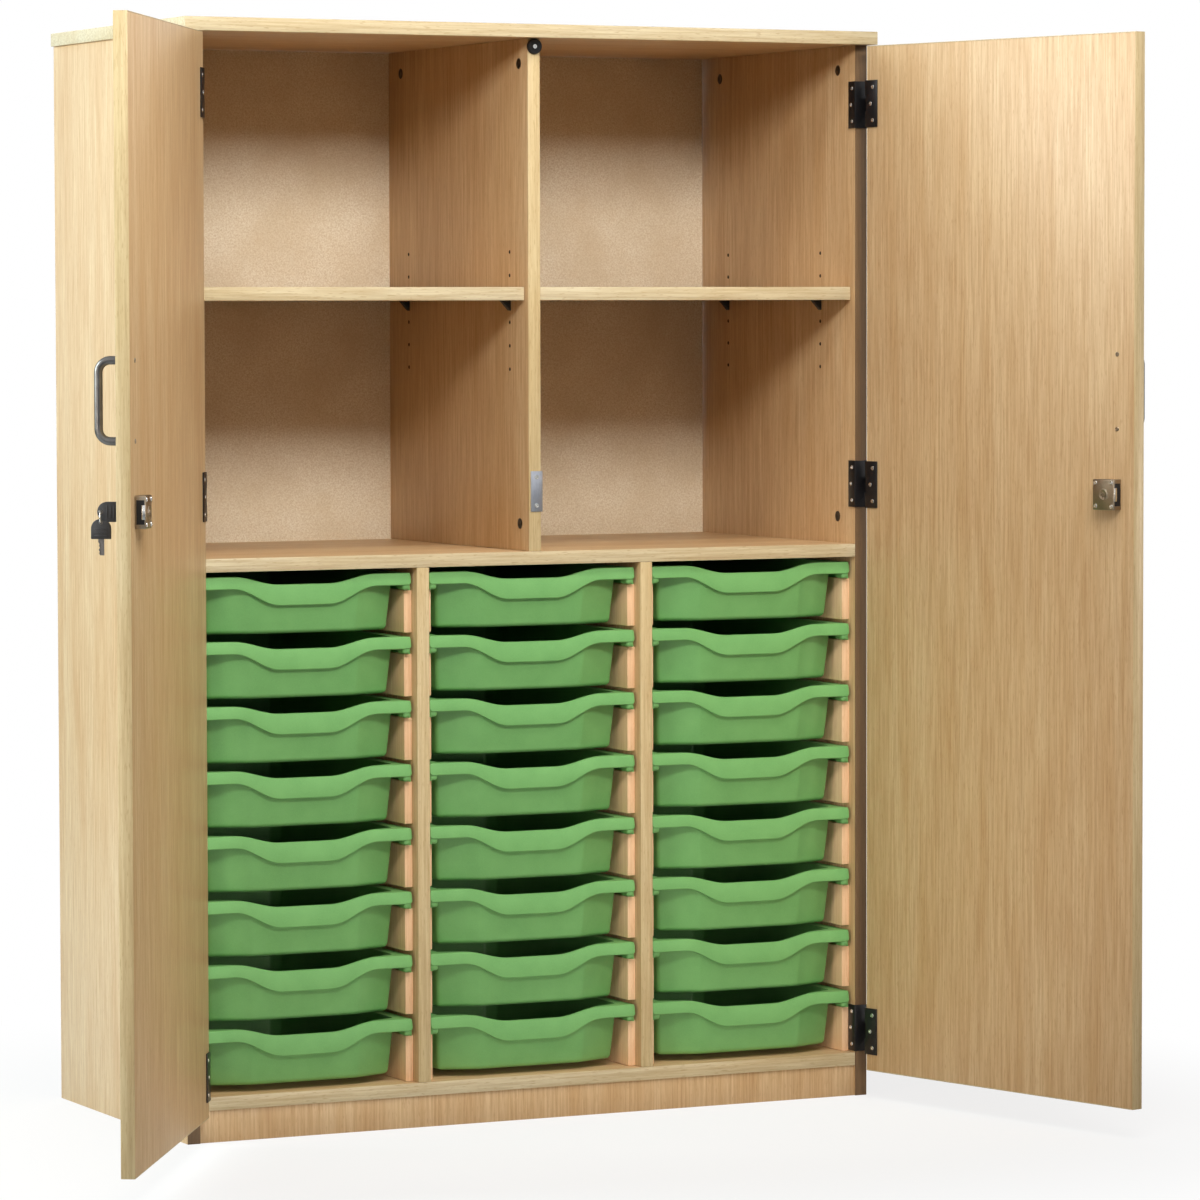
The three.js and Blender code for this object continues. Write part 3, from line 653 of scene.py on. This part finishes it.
def tray_mesh():
    shell = tray_shell()
    tray_flange(shell)
    bmesh.ops.recalc_face_normals(shell, faces=shell.faces)
    bmesh.ops.solidify(shell, geom=shell.faces[:], thickness=TRAY_WALL)
    bmesh.ops.recalc_face_normals(shell, faces=shell.faces)
    put(tray_lip(), shell)
    for end in (-1, 1):
        xs = sorted((end * (TRAY_HALF - NUB_WIDTH), end * (TRAY_HALF - 0.6 * MM)))
        put(block((xs[0], 1.4 * MM, -RAIL_FOOT), (xs[1], NUB_LENGTH, -NUB_TOP), 4 * MM, 4), shell)
    mesh = bpy.data.meshes.new("tray")
    shell.to_mesh(mesh)
    shell.free()
    return mesh


# %% One tray in every slot
pattern = tray_mesh()
for column in ("left", "middle", "right"):
    for row in range(ROWS):
        node = f"tray_{column}_{row + 1}"
        low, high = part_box(node)
        mesh = pattern.copy()
        mesh.transform(Matrix.Translation(((low.x + high.x) / 2, low.y, high.z)))
        dress(node, mesh, TRAY_GREEN, node, (node,))
xs = [v.co.x / MM for v in pattern.vertices]
print("tray mesh:", len(pattern.polygons), "faces, half width", round(max(xs), 2), "mm")
bpy.data.meshes.remove(pattern)

# %% [markdown]
# ## Hinges
# Each hinge is two pressed leaves on one pin. Their solids already have the right form, so a copy of each is
# merged, its flat faces are joined and its sharp arrises are eased. Three bright screws hold each leaf. Those
# in the door's leaf are sunk, because the two leaves lie close to each other when the door is shut.


# %% Hinge leaves and screws
def softened(node, ease):
    """A copy of a node's mesh with whole faces and eased arrises."""
    part = bmesh.new()
    part.from_mesh(frame["nodes"][node].data)
    bmesh.ops.remove_doubles(part, verts=part.verts, dist=0.005 * MM)
    bmesh.ops.dissolve_limit(part, angle_limit=math.radians(1), verts=part.verts, edges=part.edges)
    part.normal_update()
    sharp = [e for e in part.edges if len(e.link_faces) == 2 and e.calc_face_angle() > math.radians(50)]
    bmesh.ops.bevel(part, geom=sharp, offset=ease, affect="EDGES", segments=2, profile=0.5, material=-1)
    return part


HINGE_SCREW = 2.9 * MM
SUNK = 0.4 * MM
SCREW_RISE = 23 * MM
LEAF_SCREWS = ((-1, 0.42), (0, 0.6), (1, 0.42))
for side, hand in SIDES.items():
    frame_screws, door_screws = [], []
    for spot in ("top", "middle", "bottom"):
        leaf = f"hinge_frame_leaf_{side}_{spot}"
        piece(leaf, softened(leaf, 0.3 * MM), HINGE_BLACK, "carcass", (leaf,))
        low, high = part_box(leaf)
        inside = low.x if hand > 0 else high.x
        centre = (low.z + high.z) / 2
        for step, share in LEAF_SCREWS:
            y = front_y + (high.y - front_y) * share
            frame_screws.append(standing((inside, y, centre + step * SCREW_RISE), (-hand, 0, 0)))
        leaf = f"hinge_door_leaf_{side}_{spot}"
        piece(leaf, softened(leaf, 0.3 * MM), HINGE_BLACK, f"{side}_door", (leaf,))
        low, high = shut_box(leaf, side)
        reach = high.x if hand < 0 else -low.x
        for step, share in LEAF_SCREWS:
            u = reach * (1.04 - share)
            place = standing((-hand * u, high.y, centre + step * SCREW_RISE), (0, 1, 0))
            door_screws.append(DOOR[side] @ place)
    heads(f"hinge_screws_frame_{side}", frame_screws, HINGE_SCREW, 0.6 * MM, 1.1 * MM, ZINC, "carcass")
    heads(f"hinge_screws_door_{side}", door_screws, HINGE_SCREW, SUNK, 1.1 * MM, ZINC, f"{side}_door")
    print(side, "hinge screws:", len(frame_screws) + len(door_screws))

# %% [markdown]
# ## Handles
# A handle is one length of round bar bent twice. A circle is pushed out of the door, spun through a quarter
# turn, drawn up, spun again and pushed back in: extrude and spin follow the bar as it was bent.

# %% Bent-bar handles
BAR = 10.5 * MM
BEND = 15 * MM


def bent_bar(foot, reach, low_z, high_z, x):
    """A bar from the door's face at foot, out to reach, between two heights."""
    part = bmesh.new()
    ring = bmesh.ops.create_circle(part, cap_ends=False, segments=20, radius=BAR / 2)["verts"]
    bmesh.ops.rotate(part, cent=(0, 0, 0), matrix=Matrix.Rotation(math.pi / 2, 3, "X"), verts=ring)
    bmesh.ops.translate(part, vec=(x, foot, low_z), verts=ring)
    last = part.edges[:]

    def draw(edges, step):
        made = bmesh.ops.extrude_edge_only(part, edges=edges)
        bmesh.ops.translate(part, vec=step, verts=new_verts(made))
        return [g for g in made["geom"] if isinstance(g, bmesh.types.BMEdge) and g.is_boundary]

    def bend(edges, centre, angle):
        made = bmesh.ops.spin(part, geom=edges, cent=centre, axis=(1, 0, 0), angle=angle, steps=10)
        return [g for g in made["geom_last"] if isinstance(g, bmesh.types.BMEdge)]

    run = foot - reach - BEND
    last = draw(last, (0, -run, 0))
    last = bend(last, (x, reach + BEND, low_z + BEND), -math.pi / 2)
    last = draw(last, (0, 0, high_z - low_z - 2 * BEND))
    last = bend(last, (x, reach + BEND, high_z - BEND), -math.pi / 2)
    last = draw(last, (0, run, 0))
    bmesh.ops.remove_doubles(part, verts=part.verts, dist=WELD)
    bmesh.ops.holes_fill(part, edges=[e for e in part.edges if e.is_boundary], sides=0)
    bmesh.ops.recalc_face_normals(part, faces=part.faces)
    return part


for side in SIDES:
    low, high = shut_box(f"handle_{side}", side)
    x = (low.x + high.x) / 2
    bar = bent_bar(high.y, low.y + BAR / 2, low.z + BAR / 2, high.z - BAR / 2, x)
    piece(f"handle_{side}", bar, STEEL, f"{side}_door", (f"handle_{side}",), DOOR[side])
    inner_y = shut_box(f"door_{side}", side)[1].y
    places = [DOOR[side] @ standing((x, inner_y, z), (0, 1, 0)) for z in (low.z + BAR / 2, high.z - BAR / 2)]
    heads(f"handle_screws_{side}", places, 3.2 * MM, 0.8 * MM, 1.6 * MM, NICKEL, f"{side}_door")
    print(side, "handle:", round((high.z - low.z) / MM, 1), "mm tall")

# %% [markdown]
# ## Rim locks and keys
# On the inside of each door is a small cast case with a screw at each corner and the riveted end of its
# plug in the middle. On the outside, a rosette closes the barrel's hole. The left lock has a key in it, and
# a second key hangs from the first on a wire ring.

# %% Lock cases, bolts and plugs
CASE_EASE = 1.4 * MM
PLUG = 5.8 * MM
SCREW_INSET = 5 * MM
CASE_SHADE_HALF = 15 * MM
ROSETTE = ((6.1, 0), (6.1, 1.6), (7.0, 2.2), (9.0, 2.2), (11.0, 1.0), (11.0, 0))


def rosette_of(x, face_y, z):
    """The rounded ring round the barrel on the door's outer face."""
    part = lathe([(radius * MM, rise * MM) for radius, rise in ROSETTE], 32, closed=True)
    bmesh.ops.transform(part, matrix=standing((x, face_y, z), (0, -1, 0)), verts=part.verts)
    return part


lock_at = {}
for side, hand in SIDES.items():
    body = f"{side}_door"
    low, high = shut_box(f"lock_case_{side}", side)
    door_low, door_high = shut_box(f"door_{side}", side)
    x, z = (low.x + high.x) / 2, (low.z + high.z) / 2
    lock_at[side] = Vector((x, door_low.y, z))
    case = block((low.x, door_high.y + 0.2 * MM, low.z), high, CASE_EASE, 3)
    put(round_head(8 * MM, 1.0 * MM, 6.4 * MM, 0.4, 28), case, standing((x, high.y, z), (0, 1, 0)))
    put(round_head(3.4 * MM, 1.6 * MM, 1.4 * MM), case, standing((x, high.y, z), (0, 1, 0)))
    put(rosette_of(x, door_low.y, z), case)
    piece(f"lock_case_{side}", case, NICKEL, body, (f"lock_case_{side}",), DOOR[side])
    # A dark sheet of painted shade fills the case's open side round the bolt, where its unlit inside would
    # show.
    free = high.x if hand < 0 else low.x
    outward = -hand * 0.25 * MM
    xs = sorted((free - outward, free + outward))
    case_shade_low = (xs[0], door_high.y + 2.2 * MM, z - CASE_SHADE_HALF)
    case_shade_high = (xs[1], high.y - 2 * MM, z + CASE_SHADE_HALF)
    case_shade = block(case_shade_low, case_shade_high, 0.1 * MM)
    piece(f"lock_case_painted_shade_{side}", case_shade, RUBBER, body, place=DOOR[side])
    columns = (low.x + SCREW_INSET, high.x - SCREW_INSET)
    corners = [(cx, cz) for cx in columns for cz in (low.z + SCREW_INSET, high.z - SCREW_INSET)]
    places = [DOOR[side] @ standing((cx, high.y, cz), (0, 1, 0)) for cx, cz in corners]
    heads(f"lock_screws_{side}", places, 3.1 * MM, 1.0 * MM, 1.4 * MM, ZINC, body)
    bolt = f"lock_bolt_{side}"
    piece(bolt, softened(bolt, 0.5 * MM), ZINC, f"{side}_bolt", (bolt,))
    print(side, "lock:", round((high.x - low.x) / MM, 1), "by", round((high.z - low.z) / MM, 1), "mm")

# %% [markdown]
# A key bow is a D: a circle with one side pressed flat, thickened and rounded. Three raised ribs stand in for
# its grip. The blade is a strip whose lower edge is stepped into notches, thickened, with an inset groove.

# %% Key bows
BOW = 25 * MM
BOW_THICK = 5.4 * MM
BOW_HOLE = 2.6 * MM
HOLE_INSET = 4.5 * MM
BLADE_ROOT = 1 * MM
BLADE_HALF = 3.6 * MM
BLADE_THICK = 2.2 * MM
CUTS = (0, 0, 0, 1.6, 0.8, 2.0, 0.6, 1.6, 1.0, 2.4)


def key_bow(ribs=3):
    """A bow lying in the YZ plane: its flat side at Y 0, its round end and ring hole towards -Y."""
    part = bmesh.new()
    bmesh.ops.create_circle(part, cap_ends=True, segments=40, radius=BOW / 2)
    bmesh.ops.rotate(part, cent=(0, 0, 0), matrix=Matrix.Rotation(math.pi / 2, 3, "Y"), verts=part.verts)
    for vertex in part.verts:
        if vertex.co.y > 0:
            square = math.copysign(BOW / 2, vertex.co.z) if abs(vertex.co.z) > 0.3 * BOW / 2 else vertex.co.z
            vertex.co.z = square
            vertex.co.y = BOW / 2 if abs(square) < BOW / 2 or vertex.co.y > 0.3 * BOW / 2 else vertex.co.y
    bmesh.ops.translate(part, vec=(-BOW_THICK / 2, -BOW / 2, 0), verts=part.verts)
    bmesh.ops.remove_doubles(part, verts=part.verts, dist=WELD)
    made = bmesh.ops.extrude_face_region(part, geom=part.faces[:])
    bmesh.ops.translate(part, vec=(BOW_THICK, 0, 0), verts=new_verts(made))
    bmesh.ops.recalc_face_normals(part, faces=part.faces)
    part.normal_update()
    sharp = [e for e in part.edges if e.calc_face_angle(0) > math.radians(60)]
    bmesh.ops.bevel(part, geom=sharp, offset=1.0 * MM, affect="EDGES", segments=2, profile=0.5, material=-1)
    for rib in range(ribs):
        y = -(4 + 4.2 * rib) * MM
        for face in (-1, 1):
            xs = sorted((face * (BOW_THICK / 2 - 0.3 * MM), face * (BOW_THICK / 2 + 0.5 * MM)))
            put(block((xs[0], y - 0.9 * MM, -8 * MM), (xs[1], y + 0.9 * MM, 8 * MM), 0.35 * MM), part)
    return part


# %% Eyelets, blades and the wire ring
def ring_hole(part):
    """The bright eyelet at the round end of a bow, on both faces."""
    for face in (-1, 1):
        place = standing((face * BOW_THICK / 2, -BOW + HOLE_INSET, 0), (face, 0, 0))
        put(round_head(BOW_HOLE, 0.35 * MM, 1.7 * MM), part, place)


def key_blade(length):
    """A blade along Y from the bow's flat side, notched along one edge and grooved on both faces."""
    part = bmesh.new()
    bmesh.ops.create_grid(part, x_segments=1, y_segments=len(CUTS) - 1, size=1)
    bmesh.ops.rotate(part, cent=(0, 0, 0), matrix=Matrix.Rotation(math.pi / 2, 3, "Y"), verts=part.verts)
    for vertex in part.verts:
        share = (vertex.co.y + 1) / 2
        cut = CUTS[round(share * (len(CUTS) - 1))] if vertex.co.z < 0 else 0
        vertex.co.y = share * (length + BLADE_ROOT) - BLADE_ROOT
        vertex.co.z = math.copysign(BLADE_HALF, vertex.co.z) + cut * MM
    bmesh.ops.translate(part, vec=(-BLADE_THICK / 2, 0, 0), verts=part.verts)
    made = bmesh.ops.extrude_face_region(part, geom=part.faces[:])
    bmesh.ops.translate(part, vec=(BLADE_THICK, 0, 0), verts=new_verts(made))
    bmesh.ops.recalc_face_normals(part, faces=part.faces)
    for face in (-1, 1):
        flat = [f for f in part.faces if f.normal.x * face > 0.9]
        bmesh.ops.inset_region(part, faces=flat, thickness=1.3 * MM)
        bmesh.ops.inset_region(part, faces=flat, thickness=0.3 * MM, depth=-0.6 * MM)
    return part


def wire_ring(radius, wire):
    part = bmesh.new()
    circle = bmesh.ops.create_circle(part, cap_ends=False, segments=10, radius=wire)["verts"]
    bmesh.ops.rotate(part, cent=(0, 0, 0), matrix=Matrix.Rotation(math.pi / 2, 3, "X"), verts=circle)
    bmesh.ops.translate(part, vec=(radius, 0, 0), verts=circle)
    bmesh.ops.spin(part, geom=part.edges[:], cent=(0, 0, 0), axis=(0, 0, 1), angle=2 * math.pi, steps=36,
                   use_merge=True)
    bmesh.ops.remove_doubles(part, verts=part.verts, dist=WELD)
    bmesh.ops.recalc_face_normals(part, faces=part.faces)
    return part


# %% The key in the lock and the spare below it
KEY_STAND = 7 * MM
RING = 8 * MM
WIRE = 0.8 * MM
at = lock_at["left"]
bow_place = DOOR["left"] @ Matrix.Translation(at + Vector((0, -KEY_STAND, 0)))
piece("lock_key_left", key_bow(), KEY_BLACK, "left_key", ("lock_key_left",), bow_place)
fittings = key_blade(KEY_STAND + 8 * MM)
ring_hole(fittings)
plug_front = standing((0, KEY_STAND - 0.3 * MM, 0), (0, -1, 0))
put(round_head(PLUG, 1.2 * MM, 1.6 * MM, 0.05, 28), fittings, plug_front)
piece("lock_key_left_blade", fittings, STEEL, "left_key", place=bow_place)
hole = at + Vector((0, -KEY_STAND - BOW + HOLE_INSET, 0))
ring_place = DOOR["left"] @ Matrix.Translation(hole + Vector((0, 0, -RING + 1.5 * MM)))
piece("key_ring", wire_ring(RING, WIRE), ZINC, "left_door",
      place=ring_place @ Matrix.Rotation(math.pi / 2, 4, "X"))
spare_top = hole + Vector((0, 0, -2 * RING + 3 * MM + HOLE_INSET))
hang = DOOR["left"] @ Matrix.Translation(spare_top) @ Matrix.Rotation(-math.pi / 2, 4, "X")
spare_place = hang @ Matrix.Translation((0, BOW, 0))
piece("spare_key_bow", key_bow(), KEY_BLACK, "left_door", place=spare_place)
spare = key_blade(20 * MM)
ring_hole(spare)
piece("spare_key_blade", spare, STEEL, "left_door", place=spare_place)
low, high = shut_box("lock_plug_right", "right")
plug = round_head((high.x - low.x) / 2, high.y - low.y, 1.6 * MM, 0.05, 28)
plug_place = DOOR["right"] @ standing(((low.x + high.x) / 2, high.y, (low.z + high.z) / 2), (0, -1, 0))
piece("lock_plug_right", plug, NICKEL, "right_plug", ("lock_plug_right",), plug_place)
print("left key stands", round((KEY_STAND + BOW) / MM, 1), "mm out of its door")

# %% [markdown]
# ## Strike plate, buffer, cam fittings and pin holes
# The divider's front edge carries the strike plate for the bolts and a rubber buffer for the doors. The
# boards are drawn together by cam fittings, whose round faces show, and drilled for the shelf supports. A
# hole is made as a thin dark eyelet, because the board under it is a plain solid.

# %% Strike plate and buffer
piece("strike_plate", softened("strike_plate", 0.3 * MM), ALUMINIUM, "carcass",
      ("strike_plate",))
low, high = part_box("strike_plate")
plate_x = (low.x + high.x) / 2
plate_screws = [standing((plate_x, low.y, z), (0, -1, 0)) for z in (low.z + 8 * MM, high.z - 8 * MM)]
heads("strike_plate_screws", plate_screws, 3.3 * MM, 0.8 * MM, 1.2 * MM, ZINC, "carcass")

low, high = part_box("door_buffer")
tall = high.y - low.y
profile = [(0, 0), (10.5, 0), (10.5, 0.55), (10.1, 0.85), (9.0, 1.0), (7.2, 0.97), (5.6, 0.7),
           (4.4, 0.62), (0, 0.62)]
rubber = lathe([(radius * MM, share * tall) for radius, share in profile], 40)
seat = standing(((low.x + high.x) / 2, high.y, (low.z + high.z) / 2), (0, -1, 0))
piece("door_buffer", rubber, RUBBER, "carcass", ("door_buffer",), seat)
screw = seat @ Matrix.Translation((0, 0, 0.6 * tall))
heads("door_buffer_screw", [screw], 3.4 * MM, 1.2 * MM, 1.3 * MM, ZINC, "carcass")
print("buffer:", round(tall / MM, 1), "mm deep")

# %% Pin holes and cam fittings
HOLE_PITCH = 32 * MM
HOLE_TOP = 1184 * MM
HOLES = 6
holes, cams = [], []
under_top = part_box("top_panel")[0].z
over_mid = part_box("mid_shelf")[1].z
for face_x, towards, columns in support_columns.values():
    for column in columns:
        for step in range(HOLES):
            z = HOLE_TOP - step * HOLE_PITCH
            holes.append(standing((face_x, front_y + column, z), (towards, 0, 0)))
    inset = columns[0] / 2
    back = columns[1] + 26 * MM
    for y, z in ((inset, under_top - 33 * MM), (back, under_top - 31 * MM), (inset, over_mid + 37 * MM)):
        cams.append(standing((face_x, front_y + y, z), (towards, 0, 0)))
heads("shelf_pin_holes", holes, 2.6 * MM, 0.25 * MM, 1.9 * MM, HOLE_DARK, "carcass")
heads("cam_fittings", cams, 7.5 * MM, 0.5 * MM, 2.6 * MM, STEEL, "carcass")
print("pin holes:", len(holes), "cam fittings:", len(cams))

# %% [markdown]
# ## Floor, light and camera
# The unit stands on a plain white floor that runs out to a white surround. Broad soft lights stand round
# it: one for the compartments, a high one for the trays, a low one for the plinth, one across to each
# door, one for the outer side and one behind. The first is kept out of mirror reflections, or the top would
# glare from behind. The floor adds some of its own white for the camera alone, so that it meets the surround
# without a line but still takes the shadow.

# %% Floor
floor_part = bmesh.new()
bmesh.ops.create_grid(floor_part, x_segments=1, y_segments=1, size=40)
floor_mesh = bpy.data.meshes.new("floor")
floor_part.to_mesh(floor_mesh)
floor_part.free()
floor = bpy.data.objects.new("floor", floor_mesh)
scene.collection.objects.link(floor)
floor_material, tree, shader, place = new_material("white_floor")
glow = add(tree, "ShaderNodeEmission", {"Color": (1, 1, 1, 1), "Strength": 1.0})
path = add(tree, "ShaderNodeLightPath")
looked_at = add(tree, "ShaderNodeMath", {
    0: path.outputs["Is Camera Ray"], 1: path.outputs["Is Glossy Ray"],
}, operation="MAXIMUM")
white = add(tree, "ShaderNodeMix", {
    "Factor": looked_at.outputs[0], "A": linear("#B4B4B4"), "B": linear("#F4F4F4"),
}, data_type="RGBA")
feed(tree, shader, Base_Color=white.outputs["Result"], Roughness=0.9, Specular_IOR_Level=0.0)
away = add(tree, "ShaderNodeVectorMath", {0: place}, operation="LENGTH")
fade = add(tree, "ShaderNodeMapRange", {
    "Value": away.outputs["Value"], "From Min": 0.6, "From Max": 1.3, "To Min": 0.78,
}, interpolation_type="SMOOTHSTEP")
seen = add(tree, "ShaderNodeMath", {
    0: path.outputs["Is Camera Ray"], 1: fade.outputs[0],
}, operation="MULTIPLY")
mixed = add(tree, "ShaderNodeMixShader", {0: seen.outputs[0], 1: shader.outputs[0], 2: glow.outputs[0]})
output = next(n for n in tree.nodes if n.bl_idname == "ShaderNodeOutputMaterial")
tree.links.new(mixed.outputs[0], output.inputs["Surface"])
floor_mesh.materials.append(floor_material)
print("floor:", floor.dimensions.x, "m wide")

# %% Light
WORLD_LEVEL = 0.1
world = bpy.data.worlds.new("white_surround")
scene.world = world
world.use_nodes = True
tree = world.node_tree
tree.nodes.clear()
path = add(tree, "ShaderNodeLightPath")
glossy = add(tree, "ShaderNodeMath", {
    0: path.outputs["Is Camera Ray"], 1: path.outputs["Is Glossy Ray"],
}, operation="MAXIMUM")
seen = add(tree, "ShaderNodeMath", {
    0: glossy.outputs[0], 1: path.outputs["Is Transmission Ray"],
}, operation="MAXIMUM")
level = add(tree, "ShaderNodeMapRange", {"Value": seen.outputs[0], "To Min": WORLD_LEVEL, "To Max": 1.0})
sky = add(tree, "ShaderNodeBackground", {"Color": (1, 1, 1, 1), "Strength": level.outputs[0]})
add(tree, "ShaderNodeOutputWorld", {"Surface": sky.outputs[0]})


def softbox(name, place, aim, energy, size, spread, colour, mirrored=True):
    data = bpy.data.lights.new(name, "AREA")
    data.energy = energy
    data.color = colour
    data.shape = "RECTANGLE"
    data.size, data.size_y = size
    data.spread = math.radians(spread)
    made = bpy.data.objects.new(name, data)
    scene.collection.objects.link(made)
    made.visible_glossy = mirrored
    made.location = place
    made.rotation_euler = (Vector(aim) - Vector(place)).to_track_quat("-Z", "Y").to_euler()


softbox("compartments", (-0.5, -2.1, 2.2), (0, 0.4, 1.2), 12.2, (2, 0.5), 75, (1, 0.96, 0.91), False)
softbox("trays", (0, -1.25, 2.8), (0, 0, 0.1), 6.4, (1.4, 0.5), 90, (1, 0.95, 0.88))
softbox("plinth", (-0.4, -3, 0.5), (0.05, -0.2, 0.2), 0.9, (1.4, 0.4), 30, (1, 0.92, 0.84))
softbox("right_door", (-2.3, -1.5, 0.7), (0.5, -0.2, 0.3), 1.4, (1.2, 0.8), 34, (1, 0.9, 0.8))
softbox("left_door", (2.3, -1.5, 0.7), (-0.6, -0.2, 0.4), 1.25, (1.2, 0.8), 34, (1, 0.84, 0.68))
softbox("outer_side", (-3.4, 0.7, 2), (-0.51, 0.25, 0.85), 150, (2, 2), 180, (0.85, 0.97, 1))
softbox("behind", (0.8, 3.4, 1.8), (0, 0.5, 0.7), 13, (2, 2), 90, (1, 0.97, 0.94))
print("lights:", len(bpy.data.lights))

# %% Camera
YAW = math.radians(25.891)
PITCH = math.radians(-3.058)
ROLL = math.radians(-0.129)
FOCAL_PX = 5446.6
IMAGE_PX = 1200
CAMERA_AT = (-3.1528, -6.7074, 1.1059)
forward = Vector((math.sin(YAW) * math.cos(PITCH), math.cos(YAW) * math.cos(PITCH), math.sin(PITCH)))
right = Vector((math.cos(YAW), -math.sin(YAW), 0))
up = right.cross(forward)
right, up = (right * math.cos(ROLL) + up * math.sin(ROLL), up * math.cos(ROLL) - right * math.sin(ROLL))
camera_data = bpy.data.cameras.new("camera")
camera_data.sensor_width = 36
camera_data.lens = FOCAL_PX / IMAGE_PX * camera_data.sensor_width
camera = bpy.data.objects.new("camera", camera_data)
scene.collection.objects.link(camera)
aimed = Matrix((right, up, -forward)).transposed().to_4x4()
camera.matrix_world = Matrix.Translation(CAMERA_AT) @ aimed
scene.camera = camera
scene.view_settings.view_transform = "Standard"
print("lens:", round(camera_data.lens, 1), "mm")
